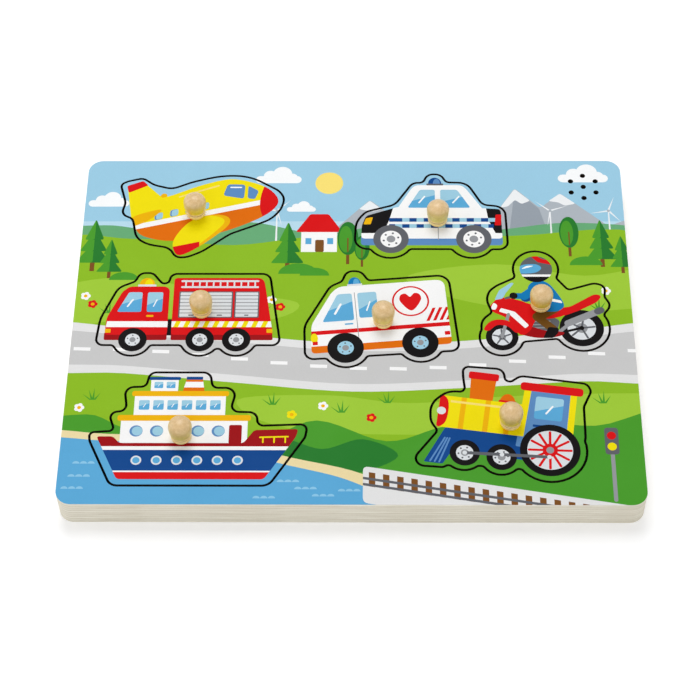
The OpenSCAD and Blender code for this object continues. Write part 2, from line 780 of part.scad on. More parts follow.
// The battery tray, open at the back of the board, with its flange and the screw boss
module battery_tray() {
    color([0.12, 0.12, 0.13]) translate([tray_at.x, tray_at.y, 0]) difference() {
        union() {
            translate([0, 0, door_sink]) linear_extrude(flange_t) flange_shape(0);
            translate([-shell.x / 2, -shell.y / 2, door_sink]) cube([shell.x, shell.y, tray_top - door_sink]);
        }
        difference() {
            translate([-cavity.x / 2, -cavity.y / 2, 0]) cube([cavity.x, cavity.y, cavity_z]);
            translate([0, 0, tray_z]) cylinder(d = boss_d, h = tray_top - tray_z);
        }
        translate([-shell.x / 2, -shell.y / 2, 0]) cube([shell.x, shell.y, tray_z]);
        translate([0, 0, tray_z - over]) {
            cylinder(r = screw_d / 2 + pin_fit, h = screw_l - door_t + pocket_gap + over);
        }
        for (side = [-1, 1]) {
            translate([0, side * ear_screw_y, 0]) tray_screw_space();
            translate([side * battery_x, -cavity.y / 2 - tray_wall / 2, wire_z]) {
                cube([tag_w + 2 * pin_fit, tray_wall + 2 * over, contact_t + 2 * pin_fit], center = true);
            }
        }
    }
}

// A countersunk screw, from its head's face upwards
module sunk_screw(d, head_d, l, grow) {
    head_h = (head_d - d) / 2;
    cylinder(r1 = head_d / 2 + grow, r2 = d / 2 + grow, h = head_h);
    cylinder(r = d / 2 + grow, h = l);
}

// The cross that a screwdriver turns
module drive_cross(head_d, d) {
    depth = (head_d - d) / 2 * drive_depth_share;
    for (turn = [0, 90]) {
        rotate(turn) translate([0, 0, depth / 2 - over / 2]) {
            cube([head_d * drive_length_share, drive_w, depth + over], center = true);
        }
    }
}

// Where a flange screw goes through the tray's flange
module tray_screw_space() {
    translate([0, 0, door_sink]) sunk_screw(tray_screw_d, tray_screw_head_d, tray_screw_l, pin_fit);
    translate([0, 0, -over]) cylinder(r = tray_screw_head_d / 2 + pin_fit, h = over + door_sink);
}

// The two screws that hold the tray to the back board
module tray_screws() {
    color([0.7, 0.7, 0.68]) for (side = [-1, 1]) {
        translate([tray_at.x, tray_at.y + side * ear_screw_y, door_sink]) difference() {
            sunk_screw(tray_screw_d, tray_screw_head_d, tray_screw_l, 0);
            drive_cross(tray_screw_head_d, tray_screw_d);
        }
    }
}

// The contact plates, with a dimple for each nub, a spring for each flat end and two wire tags
module battery_contacts() {
    end_y = cavity.y / 2;
    plate_h = cavity_z - tray_z - 2 * contact_margin;
    spring_l = cavity.y - battery_l - 2 * contact_t - dimple_l;
    color([0.78, 0.78, 0.76]) translate([tray_at.x, tray_at.y, 0]) {
        translate([0, end_y - contact_t / 2, battery_z]) {
            cube([2 * battery_x + contact_w, contact_t, plate_h], center = true);
        }
        for (cell = battery_sides) {
            translate([cell[0] * battery_x, 0, 0]) {
                translate([0, -end_y + contact_t / 2, battery_z]) {
                    cube([contact_w, contact_t, plate_h], center = true);
                }
                translate([0, -end_y - (tray_wall + tag_l) / 2, wire_z]) {
                    cube([tag_w, tray_wall + tag_l, contact_t], center = true);
                }
                translate([0, cell[1] * (end_y - contact_t), battery_z]) {
                    rotate([cell[1] * 90, 0, 0]) cylinder(d = dimple_d, h = dimple_l);
                }
                translate([0, -cell[1] * (end_y - contact_t), battery_z]) {
                    rotate([-cell[1] * 90, 0, 0]) cylinder(d1 = spring_d, d2 = nub_d, h = spring_l);
                }
            }
        }
    }
}

// The two batteries, side by side and head to tail
module batteries() {
    for (cell = battery_sides) {
        nub_y = cell[1] * (cavity.y / 2 - contact_t - dimple_l);
        color([0.2, 0.35, 0.55]) translate([tray_at.x + cell[0] * battery_x, tray_at.y + nub_y, battery_z]) {
            rotate([cell[1] * 90, 0, 0]) {
                cylinder(d = nub_d, h = battery_l / 2);
                translate([0, 0, nub_l]) cylinder(d = battery_d, h = battery_l - nub_l);
            }
        }
    }
}

// The battery door, flush in the flange, with a sunk panel and the hole for its screw
module battery_door() {
    size = [shell.x - 2 * door_gap, shell.y - 2 * door_gap];
    color([0.13, 0.13, 0.14]) translate([tray_at.x, tray_at.y, door_sink]) difference() {
        translate([-size.x / 2, -size.y / 2, 0]) cube([size.x, size.y, door_t]);
        difference() {
            translate([-size.x / 2 + door_rim, -size.y / 2 + door_rim, -over]) {
                cube([size.x - 2 * door_rim, size.y - 2 * door_rim, door_panel_sink + over]);
            }
            translate([0, 0, -2 * over]) cylinder(d = screw_head_d + 2 * door_rim, h = door_t + 2 * over);
        }
        sunk_screw(screw_d, screw_head_d, screw_l, pin_fit);
        translate([0, 0, -over]) cylinder(r = screw_head_d / 2 + pin_fit, h = over);
    }
}

// The door's screw, which turns in the boss between the batteries
module battery_door_screw() {
    color([0.75, 0.75, 0.73]) translate([tray_at.x, tray_at.y, door_sink]) difference() {
        sunk_screw(screw_d, screw_head_d, screw_l, 0);
        drive_cross(screw_head_d, screw_d);
    }
}

board_print();
top_board();
recess_sheet();
core_board();
back_board();
piece_board("plane");  // plane_board
piece_print("plane", [0.95, 0.85, 0.15]);  // plane_print
knob("plane");  // plane_knob
piece_board("fire_engine");  // fire_engine_board
piece_print("fire_engine", [0.8, 0.1, 0.1]);  // fire_engine_print
knob("fire_engine");  // fire_engine_knob
piece_board("ship");  // ship_board
piece_print("ship", [0.1, 0.3, 0.55]);  // ship_print
knob("ship");  // ship_knob
piece_board("police_car");  // police_car_board
piece_print("police_car", [0.95, 0.95, 0.95]);  // police_car_print
knob("police_car");  // police_car_knob
piece_board("ambulance");  // ambulance_board
piece_print("ambulance", [0.93, 0.93, 0.93]);  // ambulance_print
knob("ambulance");  // ambulance_knob
piece_board("motorbike");  // motorbike_board
piece_print("motorbike", [0.4, 0.65, 0.85]);  // motorbike_print
knob("motorbike");  // motorbike_knob
piece_board("locomotive");  // locomotive_board
piece_print("locomotive", [0.3, 0.45, 0.7]);  // locomotive_print
knob("locomotive");  // locomotive_knob
speaker_basket();
speaker_magnet();
speaker_cone();
circuit_board();
sound_chip();
circuit_parts();
light_sensors();
sensor_wires();
speaker_wires();
battery_wires();
battery_tray();
tray_screws();
battery_contacts();
batteries();
battery_door();
battery_door_screw();
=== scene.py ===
"""Looks of a wooden peg puzzle: a printed board with seven loose vehicle pieces, seen from all sides.

Lengths are metres, in the frame of the construction model: +X along the board's long side, +Y away
from the viewer and +Z up through the knobs.
"""
import json
import logging
import math
from dataclasses import dataclass, field
from enum import Enum
from typing import Iterable

import bmesh
import bpy
from mathutils import Matrix, Vector
from mathutils.geometry import delaunay_2d_cdt


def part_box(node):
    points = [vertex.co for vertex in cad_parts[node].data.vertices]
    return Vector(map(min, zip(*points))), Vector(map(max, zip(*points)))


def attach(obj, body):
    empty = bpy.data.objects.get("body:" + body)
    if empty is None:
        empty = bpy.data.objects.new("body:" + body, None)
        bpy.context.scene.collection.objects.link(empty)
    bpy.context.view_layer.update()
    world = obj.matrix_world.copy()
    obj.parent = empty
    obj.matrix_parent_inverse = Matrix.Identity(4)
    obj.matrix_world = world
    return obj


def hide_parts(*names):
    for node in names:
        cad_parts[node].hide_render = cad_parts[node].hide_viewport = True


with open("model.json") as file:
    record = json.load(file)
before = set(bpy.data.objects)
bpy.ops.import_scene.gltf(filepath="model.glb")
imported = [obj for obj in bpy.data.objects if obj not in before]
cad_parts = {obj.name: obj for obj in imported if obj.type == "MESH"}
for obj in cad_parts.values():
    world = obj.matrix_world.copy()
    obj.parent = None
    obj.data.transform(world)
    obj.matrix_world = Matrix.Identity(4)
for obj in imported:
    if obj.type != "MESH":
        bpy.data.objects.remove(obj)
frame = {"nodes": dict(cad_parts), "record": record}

Point = tuple[float, float]
Link = bpy.types.NodeSocket

PIECES = ("plane", "fire_engine", "ship", "police_car", "ambulance", "motorbike", "locomotive")

# Lengths in metres, and heights of the boards' lower faces above the floor
MM = 0.001
BOARD = Vector((0.300, 0.225, 0.018))
CORNER = 8 * MM
TOP_BOARD_LOW = 12.2 * MM
CORE_BOARD_LOW = 6 * MM
RIM_DEPTH = 0.4 * MM
WELD = 0.001 * MM
# Faces whose normals rise by more than this lie flat
FLAT = 0.5
# A rounded corner takes up to this share of a side, and curves have so many steps
CORNER_SHARE = 0.48
CORNER_STEPS = 4
CURVE_STEPS = 6
# Points closer than this, in millimetres, are one point, and only triangles inside a loop are kept
SNAP = 0.003
INSIDE_ONLY = 1
# The paper's cut rim, and the white that faded inks go towards, as display colours
PAPER = (228, 224, 208)
PAPER_WHITE = 248


def linear(colour: Iterable[float]) -> tuple[float, float, float, float]:
    """Turns a display colour from 0 to 255 into the linear colour that a shader takes.

    Args:
        colour: red, green and blue from 0 to 255.

    Returns:
        Linear red, green, blue and an alpha of 1.
    """
    parts = [c / 255 for c in colour]
    red, green, blue = (c / 12.92 if c <= 0.04045 else ((c + 0.055) / 1.055) ** 2.4 for c in parts)
    return red, green, blue, 1.0


def shaded(colour: Iterable[float], shares: Iterable[float]) -> tuple[float, float, float, float]:
    """Returns the linear colour for a display colour whose parts are each taken times a share."""
    return linear(part * share for part, share in zip(colour, shares))


def arc(x: float, y: float, wide: float, tall: float, turns: range) -> list[Point]:
    """Finds points on an ellipse.

    Args:
        x: middle of the ellipse.
        y: middle of the ellipse.
        wide: its half width.
        tall: its half height.
        turns: angles in whole degrees, anticlockwise from the right.

    Returns:
        One point for each angle.
    """
    return [(x + wide * math.cos(a), y + tall * math.sin(a)) for a in map(math.radians, turns)]


class Graph:
    """A material's or a node group's tree, with short calls to add and join nodes."""

    def __init__(self, tree: bpy.types.NodeTree) -> None:
        """Takes the tree to build in."""
        self.tree = tree

    def add(self, kind: str, inputs: dict[str | int, object] | None = None,
            **settings: object) -> bpy.types.Node:
        """Adds a node.

        Args:
            kind: the node's class without the words ShaderNode.
            inputs: values or sockets for its inputs, by name or number.
            settings: the node's own properties.

        Returns:
            The new node.
        """
        node = self.tree.nodes.new("ShaderNode" + kind)
        for name, value in settings.items():
            setattr(node, name, value)
        for key, value in (inputs or {}).items():
            self.put(node.inputs[key], value)
        return node

    def put(self, socket: Link, value: object) -> None:
        """Joins a socket to another one, or gives it a value."""
        if isinstance(value, bpy.types.NodeSocket):
            self.tree.links.new(value, socket)
        else:
            socket.default_value = value

    def math(self, operation: str, a: object, b: object = 0.0, c: object = 0.0, clamp: bool = False) -> Link:
        """Adds a Math node and returns its result."""
        node = self.add("Math", operation=operation, use_clamp=clamp)
        for socket, value in zip(node.inputs, (a, b, c)):
            self.put(socket, value)
        return node.outputs[0]

    def vector(self, operation: str, a: object, b: object = (0.0, 0.0, 0.0)) -> bpy.types.Node:
        """Adds a Vector Math node and returns it."""
        node = self.add("VectorMath", operation=operation)
        self.put(node.inputs[0], a)
        self.put(node.inputs[1], b)
        return node

    def mix(self, share: object, a: object, b: object, blend: str = "MIX") -> Link:
        """Mixes two colours and returns the result."""
        node = self.add("Mix", data_type="RGBA", blend_type=blend)
        for name, value in zip(("Factor_Float", "A_Color", "B_Color"), (share, a, b)):
            self.put(next(s for s in node.inputs if s.identifier == name), value)
        return next(s for s in node.outputs if s.identifier == "Result_Color")

    def ramp(self, value: Link, low: float, high: float, to_low: float = 0.0, to_high: float = 1.0) -> Link:
        """Maps a value smoothly from one span to another and returns the result."""
        node = self.add("MapRange", interpolation_type="SMOOTHSTEP")
        for socket, number in zip(node.inputs, (value, low, high, to_low, to_high)):
            self.put(socket, number)
        return node.outputs[0]

    def stretch(self, place: Link, x: float, y: float, z: float) -> Link:
        """Multiplies a vector's parts and returns the result."""
        return self.vector("MULTIPLY", place, (x, y, z)).outputs[0]

    def height(self, place: Link) -> Link:
        """Returns a vector's Z."""
        return self.add("SeparateXYZ", {"Vector": place}).outputs["Z"]

    def noise(self, place: Link, scale: float, detail: float = 3.0, rough: float = 0.5,
              bend: float = 0.0) -> Link:
        """Adds a noise texture and returns its value."""
        inputs = {"Vector": place, "Scale": scale, "Detail": detail, "Roughness": rough, "Distortion": bend}
        return self.add("TexNoise", inputs).outputs["Fac"]


class Ink(Enum):
    """The printing inks, as display colours from 0 to 255."""

    SKY = (157, 205, 229)
    SKY_PALE = (186, 221, 238)
    CLOUD = (250, 252, 253)
    SUN = (250, 226, 120)
    PEAK = (176, 184, 192)
    PEAK_DARK = (152, 161, 171)
    SNOW = (240, 243, 245)
    HILL = (104, 171, 120)
    GRASS = (141, 188, 36)
    GRASS_PALE = (160, 203, 58)
    LEAF = (73, 155, 43)
    LEAF_DARK = (38, 122, 44)
    TRUNK = (124, 78, 34)
    ROAD = (203, 203, 203)
    KERB = (230, 230, 230)
    WATER = (92, 170, 217)
    WATER_PALE = (140, 199, 231)
    SAND = (238, 220, 168)
    WHITE = (250, 250, 250)
    SILVER = (222, 226, 230)
    GREY = (150, 152, 156)
    STEEL = (96, 98, 104)
    BLACK = (8, 5, 7)
    # LINE is also the scorched sides of the sheets, and painted shade at the bottom of the saw gaps
    LINE = (10, 7, 7)
    RED = (219, 13, 18)
    RED_DARK = (157, 8, 16)
    ORANGE = (227, 110, 3)
    AMBER = (240, 181, 1)
    YELLOW = (243, 225, 4)
    NAVY = (9, 70, 140)
    BLUE = (92, 140, 194)
    AZURE = (14, 122, 186)
    GLASS = (158, 206, 228)
    GLASS_DARK = (92, 171, 218)
    BROWN = (112, 74, 24)


@dataclass
class Shape:
    """One closed printed shape, with the shape that it is cut to, if any."""

    ink: Ink
    loop: list[Point]
    within: "Shape | None" = None


@dataclass
class Pen:
    """Draws closed shapes on a sheet, in hundredths of the sheet's length.

    The lower left corner of the sheet's box is 0, 0, and turn leans the whole drawing about the
    middle of that box, anticlockwise, in degrees.
    """

    low: Point
    high: Point
    turn: float = 0.0
    shapes: list[Shape] = field(default_factory=list)
    clip: Shape | None = None

    def place(self, x: float, y: float) -> Point:
        """Returns the point of the sheet, in millimetres."""
        unit = (self.high[0] - self.low[0]) / 100
        mid_x, mid_y = 50.0, (self.high[1] - self.low[1]) / unit / 2
        lean = math.radians(self.turn)
        dx, dy = x - mid_x, y - mid_y
        return (
            self.low[0] + unit * (mid_x + dx * math.cos(lean) - dy * math.sin(lean)),
            self.low[1] + unit * (mid_y + dx * math.sin(lean) + dy * math.cos(lean)),
        )

    def add(self, ink: Ink, points: list[Point]) -> Shape:
        """Adds a closed shape through the points and returns it."""
        shape = Shape(ink, [self.place(x, y) for x, y in points], self.clip)
        self.shapes.append(shape)
        return shape

    def poly(self, ink: Ink, *points: Point, soft: float = 0.0) -> Shape:
        """Adds a polygon whose corners are rounded over the length soft."""
        if soft <= 0:
            return self.add(ink, list(points))
        loop: list[Point] = []
        for i, (x, y) in enumerate(points):
            ends = []
            for nx, ny in (points[i - 1], points[(i + 1) % len(points)]):
                length = math.hypot(nx - x, ny - y)
                share = min(soft / length, CORNER_SHARE) if length else 0.0
                ends.append((x + (nx - x) * share, y + (ny - y) * share))
            (ax, ay), (bx, by) = ends
            for step in range(CORNER_STEPS + 1):
                t = step / CORNER_STEPS
                a, b, c = (1 - t) ** 2, 2 * t * (1 - t), t * t
                loop.append((a * ax + b * x + c * bx, a * ay + b * y + c * by))
        return self.add(ink, loop)

    def box(self, ink: Ink, x0: float, y0: float, x1: float, y1: float, soft: float = 0.0) -> Shape:
        """Adds an upright rectangle from its two corners."""
        return self.poly(ink, (x0, y0), (x1, y0), (x1, y1), (x0, y1), soft=soft)

    def disc(self, ink: Ink, x: float, y: float, r: float, tall: float | None = None) -> Shape:
        """Adds a disc, or an ellipse whose half height is tall. A larger one has more corners."""
        real = r * (self.high[0] - self.low[0]) / 100
        steps = max(12, min(56, int(10 + 5 * real)))
        turns = [2 * math.pi * i / steps for i in range(steps)]
        high = r if tall is None else tall
        return self.add(ink, [(x + r * math.cos(a), y + high * math.sin(a)) for a in turns])

    def dome(self, ink: Ink, x: float, y: float, r: float, tall: float) -> Shape:
        """Adds the upper half of an ellipse that stands on the point x, y."""
        return self.add(ink, arc(x, y, r, tall, range(0, 181, 15)))

    def bar(self, ink: Ink, x0: float, y0: float, x1: float, y1: float, width: float) -> Shape:
        """Adds a straight stroke with round ends."""
        along = math.atan2(y1 - y0, x1 - x0)
        half = width / 2
        loop: list[Point] = []
        for x, y, start in ((x1, y1, along - math.pi / 2), (x0, y0, along + math.pi / 2)):
            for step in range(CURVE_STEPS + 1):
                a = start + math.pi * step / CURVE_STEPS
                loop.append((x + half * math.cos(a), y + half * math.sin(a)))
        return self.add(ink, loop)

    def blob(self, ink: Ink, *points: Point) -> Shape:
        """Adds a smooth closed shape through the points."""
        loop: list[Point] = []
        count = len(points)
        for i in range(count):
            before, start, end, after = (points[(i + k) % count] for k in (-1, 0, 1, 2))
            for step in range(CURVE_STEPS):
                t = step / CURVE_STEPS
                loop.append(tuple(
                    0.5 * (2 * s + (e - b) * t + (2 * b - 5 * s + 4 * e - a) * t * t
                           + (3 * s - b - 3 * e + a) * t ** 3)
                    for b, s, e, a in zip(before, start, end, after)
                ))
        return self.add(ink, loop)

    def inside(self, shape: Shape | None) -> None:
        """Cuts every shape drawn from now on to the given shape, or to nothing."""
        self.clip = shape

    def wheel(self, x: float, y: float, r: float, rim: float, hub: float, tyre: Ink = Ink.BLACK,
              disc: Ink = Ink.SILVER, bolts: int = 5) -> None:
        """Draws a tyre, its wheel disc and hub, with a ring of bolts."""
        self.disc(tyre, x, y, r)
        self.disc(disc, x, y, rim)
        self.disc(Ink.GREY, x, y, hub)
        for i in range(bolts):
            a = 2 * math.pi * (i + 0.25) / bolts
            away = (rim + hub) / 2
            self.disc(Ink.STEEL, x + away * math.cos(a), y + away * math.sin(a), hub * 0.26)

    def window(self, *points: Point, soft: float = 1.2) -> None:
        """Draws a pane of glass with a darker lower part and a gleam."""
        pane = self.poly(Ink.GLASS, *points, soft=soft)
        low_x, high_x = min(p[0] for p in points), max(p[0] for p in points)
        low_y, high_y = min(p[1] for p in points), max(p[1] for p in points)
        wide, tall = high_x - low_x, high_y - low_y
        outer, self.clip = self.clip, pane
        self.poly(Ink.GLASS_DARK, (low_x - 1, low_y - 1), (high_x + 1, low_y - 1),
                  (high_x + 1, low_y + 0.72 * tall), (low_x - 1, low_y + 0.3 * tall))
        self.bar(Ink.CLOUD, low_x + 0.42 * wide, low_y + 0.28 * tall, low_x + 0.62 * wide,
                 low_y + 0.62 * tall, min(wide, tall) * 0.07)
        self.clip = outer

    def pane(self, x0: float, y0: float, x1: float, y1: float, soft: float = 1.2) -> None:
        """Draws an upright window from its two corners."""
        self.window((x0, y0), (x0, y1), (x1, y1), (x1, y0), soft=soft)


def draw_plane(pen: Pen) -> None:
    """Draws a small passenger plane that climbs to the right."""
    pen.poly(Ink.AMBER, (22, 44), (25.5, 49.5), (28.5, 48.5), (27.5, 42.5), soft=1.5)
    pen.poly(Ink.YELLOW, (3, 54.8), (12.4, 58.8), (27, 44), (20, 29), (7, 29), soft=1.8)
    pen.poly(Ink.RED, (2.7, 55.1), (12.6, 59.2), (16, 55.6), (4.2, 49.6), soft=1.2)
    body = pen.blob(Ink.YELLOW, (9.6, 29), (11.8, 18.6), (21, 13.6), (36, 12.2), (60, 17.6), (80, 26.2),
                    (92.5, 34.5), (97.4, 43), (92.8, 51.4), (83, 57.2), (67.5, 60.6), (50, 56), (32, 48),
                    (18, 42))
    pen.inside(body)
    pen.poly(Ink.ORANGE, (5, 8), (5, 19.5), (100, 43.5), (100, 8))
    pen.poly(Ink.WHITE, (5, 19.5), (5, 23.4), (100, 47.4), (100, 43.5))
    pen.poly(Ink.RED, (91, 24), (86, 36), (86, 46), (89, 58), (104, 62), (104, 24), soft=5)
    pen.bar(Ink.SUN, 36, 46.4, 60, 55.4, 1.1)
    pen.inside(None)
    for i in range(4):
        x, y = 24 + 9.4 * i, 31 + 2.65 * i
        pen.poly(Ink.BLUE, (x - 2.6, y - 3.1), (x + 2.4, y - 1.8), (x + 2.4, y + 3.4), (x - 2.6, y + 2.1),
                 soft=1.6)
        pen.poly(Ink.GLASS, (x - 1.7, y - 2.6), (x + 2.4, y - 1.6), (x + 2.4, y + 3.2), (x - 1.7, y + 2),
                 soft=1.6)
    pen.poly(Ink.BLUE, (63, 47.5), (65.5, 56.5), (76.5, 56.2), (76, 45), soft=2)
    pen.poly(Ink.BLUE, (78.2, 45.4), (78.4, 55.4), (85, 51.2), (82.8, 44.6), soft=1.5)
    pen.bar(Ink.CLOUD, 67.6, 54, 74, 54, 1)
    wing = pen.blob(Ink.AMBER, (34, 12), (36.5, 1.6), (44, 3.4), (57, 13.5), (67.4, 24.6), (66, 31),
                    (55, 32.2), (42.5, 26))
    pen.inside(wing)
    pen.blob(Ink.YELLOW, (31, 14), (33.5, 1), (42, 2.6), (54, 13.5), (64, 25), (62.6, 30), (53, 31.4),
             (40, 25.6))
    pen.poly(Ink.RED, (30, 0), (30, 6.4), (50, 11.4), (50, 0))
    pen.inside(None)
    pen.blob(Ink.AMBER, (6.6, 27), (8.5, 23.4), (17, 27.4), (25, 35), (22, 36), (9.4, 31.4))


def draw_fire_engine(pen: Pen) -> None:
    """Draws a fire engine that faces left."""
    pen.box(Ink.BLACK, 36, 13, 43, 24)
    pen.box(Ink.RED_DARK, 3.4, 9.8, 38.2, 15, soft=1)
    pen.poly(Ink.RED_DARK, (40.4, 9.8), (97, 9.8), (96.6, 15), (40.4, 15), soft=1)
    pen.poly(Ink.RED, (3.6, 13.4), (4, 25), (11.6, 43), (15.6, 46.6), (36, 46.6), (38.2, 44.6),
             (38.2, 13.4), soft=2)
    pen.poly(Ink.RED, (40.4, 13.4), (40.4, 52.6), (89.4, 52.6), (91.4, 50), (97, 13.4), soft=2)
    pen.window((9.4, 29), (15.4, 42.6), (23, 42.6), (23, 29))
    pen.pane(26, 29, 34.6, 42.6)
    pen.box(Ink.AMBER, 26, 25.6, 30, 26.9, soft=0.5)
    pen.poly(Ink.WHITE, (4, 18.6), (4.4, 22.6), (38.2, 22.6), (38.2, 18.6))
    pen.poly(Ink.WHITE, (40.4, 18.6), (40.4, 22.6), (95.6, 22.6), (96.2, 18.6))
    for i in range(10):
        x = 41.4 + 5.4 * i
        pen.poly(Ink.YELLOW, (x, 18.6), (x + 2.7, 18.6), (x + 4.2, 22.6), (x + 1.5, 22.6))
    for left in (44.4, 60.2, 75.6):
        right = left + (13 if left < 75 else 12.4)
        pen.box(Ink.STEEL, left - 0.7, 25, right + 0.7, 43.2, soft=0.8)
        pen.box(Ink.SILVER, left, 25.7, right, 42.5, soft=0.6)
        for slat in range(6):
            pen.box(Ink.GREY, left, 28 + 2.4 * slat, right, 28.6 + 2.4 * slat)
        pen.box(Ink.STEEL, left + 5, 26.4, right - 5, 27.2, soft=0.3)
    for y in (46.2, 50.4):
        pen.bar(Ink.SILVER, 45, y, 87.6, y, 1.3)
    for i in range(11):
        pen.bar(Ink.SILVER, 47 + 3.9 * i, 46.2, 47 + 3.9 * i, 50.4, 0.9)
    pen.box(Ink.AMBER, 3.6, 14.8, 6.8, 17.4, soft=0.5)
    pen.box(Ink.AMBER, 93.4, 14.8, 96.7, 17.4, soft=0.5)
    pen.box(Ink.SILVER, 20, 46.6, 30.4, 48, soft=0.4)
    pen.dome(Ink.AMBER, 25.2, 48, 4.3, 4.6)
    pen.dome(Ink.YELLOW, 26.2, 48, 2.3, 3.8)
    for x in (19.4, 56.6, 76.8):
        pen.wheel(x, 10.1, 7.9, 4.1, 1.7)


def draw_ship(pen: Pen) -> None:
    """Draws a small passenger ship that sails to the right."""
    pen.poly(Ink.ORANGE, (41.6, 51), (43.4, 59.4), (50.6, 59.4), (52, 51), soft=0.6)
    pen.poly(Ink.WHITE, (42.1, 53.4), (42.9, 56.6), (51.1, 56.6), (51.6, 53.4))
    pen.box(Ink.NAVY, 43.1, 57.8, 50.9, 59.5, soft=0.4)
    pen.box(Ink.WHITE, 26.4, 51, 39.4, 58.2, soft=0.8)
    pen.box(Ink.NAVY, 25.4, 57.6, 40.4, 59.4, soft=0.8)
    pen.pane(28, 53, 32.2, 56.6, soft=0.5)
    pen.pane(33.8, 53, 38, 56.6, soft=0.5)
    pen.box(Ink.WHITE, 19.2, 37.6, 62.2, 49.4)
    pen.box(Ink.AMBER, 17.8, 48.4, 63.6, 51.4, soft=1.2)
    for i in range(6):
        left = 21.4 + 6.7 * i
        pen.pane(left, 40.8, left + 5, 46.2, soft=0.7)
    pen.box(Ink.WHITE, 13.6, 22, 73, 35.4)
    pen.box(Ink.AMBER, 11.8, 34.6, 74.4, 37.9, soft=1.3)
    for i in range(5):
        pen.disc(Ink.BLUE, 21 + 9.6 * i, 29, 3.1)
        pen.disc(Ink.GLASS, 21.5 + 9.6 * i, 29, 2.5)
    pen.box(Ink.RED_DARK, 64.4, 22, 70.4, 32.4, soft=1)
    hull = pen.poly(Ink.NAVY, (2.7, 26), (10.6, 26), (13.4, 22.4), (71.4, 22.4), (76.2, 29.6), (96.8, 30.2),
                    (95.8, 26), (81.4, 2.8), (13.6, 2.8), soft=1.6)
    pen.inside(hull)
    pen.poly(Ink.RED_DARK, (0, 20.4), (0, 32), (100, 32), (100, 20.4))
    pen.box(Ink.WHITE, 0, 18.6, 100, 20.6)
    pen.box(Ink.RED, 0, 0, 100, 6.6)
    pen.box(Ink.WHITE, 0, 6.6, 100, 7.4)
    pen.inside(None)
    for i in range(6):
        pen.disc(Ink.SILVER, 22 + 9.4 * i, 13, 2.5)
        pen.disc(Ink.GLASS_DARK, 22 + 9.4 * i, 13, 1.7)
    pen.bar(Ink.YELLOW, 79, 25.6, 92, 26, 0.8)
    for i in range(3):
        pen.bar(Ink.YELLOW, 80.4 + 5.2 * i, 25.6, 80.4 + 5.2 * i, 22.8, 0.7)


def draw_police_car(pen: Pen) -> None:
    """Draws a patrol car that faces left."""
    pen.box(Ink.BLUE, 3.2, 9.8, 97.6, 18, soft=2.5)
    pen.poly(Ink.WHITE, (26, 38), (37.6, 59), (40.6, 61.2), (70.4, 61.2), (73.4, 59), (86.6, 38), soft=3)
    body = pen.poly(Ink.WHITE, (3.4, 15.4), (3.6, 26), (6.4, 34.6), (28, 42.4), (88, 41), (97, 40.4),
                    (97.6, 15.4), soft=2.4)
    pen.inside(body)
    pen.poly(Ink.BLACK, (0, 20), (0, 50), (27, 50), (22, 31), (18, 20))
    pen.poly(Ink.BLACK, (100, 20), (100, 50), (86, 50), (88.6, 31), (93, 20))
    for low in (24.4, 29.6):
        pen.box(Ink.NAVY, 22, low, 92, low + 3.2)
    for i in range(7):
        pen.box(Ink.GLASS, 26 + 9.6 * i, 24.4, 30.8 + 9.6 * i, 27.6)
        pen.box(Ink.GLASS, 30.8 + 9.6 * i, 29.6, 35.6 + 9.6 * i, 32.8)
    pen.inside(None)
    pen.window((34.4, 41.6), (42.8, 57.2), (53, 57.2), (53, 41.6), soft=1.6)
    pen.window((56.6, 41.6), (56.6, 57.2), (68, 57.2), (76.8, 41.6), soft=1.6)
    pen.bar(Ink.GREY, 54.8, 14.6, 54.8, 40.4, 0.5)
    pen.bar(Ink.STEEL, 57.4, 36.2, 61.4, 36.2, 1)
    pen.poly(Ink.AMBER, (4.8, 27.4), (6.4, 32.6), (11.2, 33.6), (9.6, 27.4), soft=0.9)
    pen.poly(Ink.RED, (97, 26.6), (97.4, 35.8), (93.4, 35.8), (92.6, 26.6), soft=0.9)
    pen.box(Ink.STEEL, 47.4, 61, 58.8, 62.6, soft=0.5)
    pen.dome(Ink.NAVY, 53, 62.5, 4.5, 5.2)
    pen.dome(Ink.BLUE, 54.2, 62.5, 2.4, 4.2)
    for x in (23.2, 78.4):
        pen.wheel(x, 15, 11.8, 7, 2.9, Ink.STEEL, Ink.WHITE, 6)


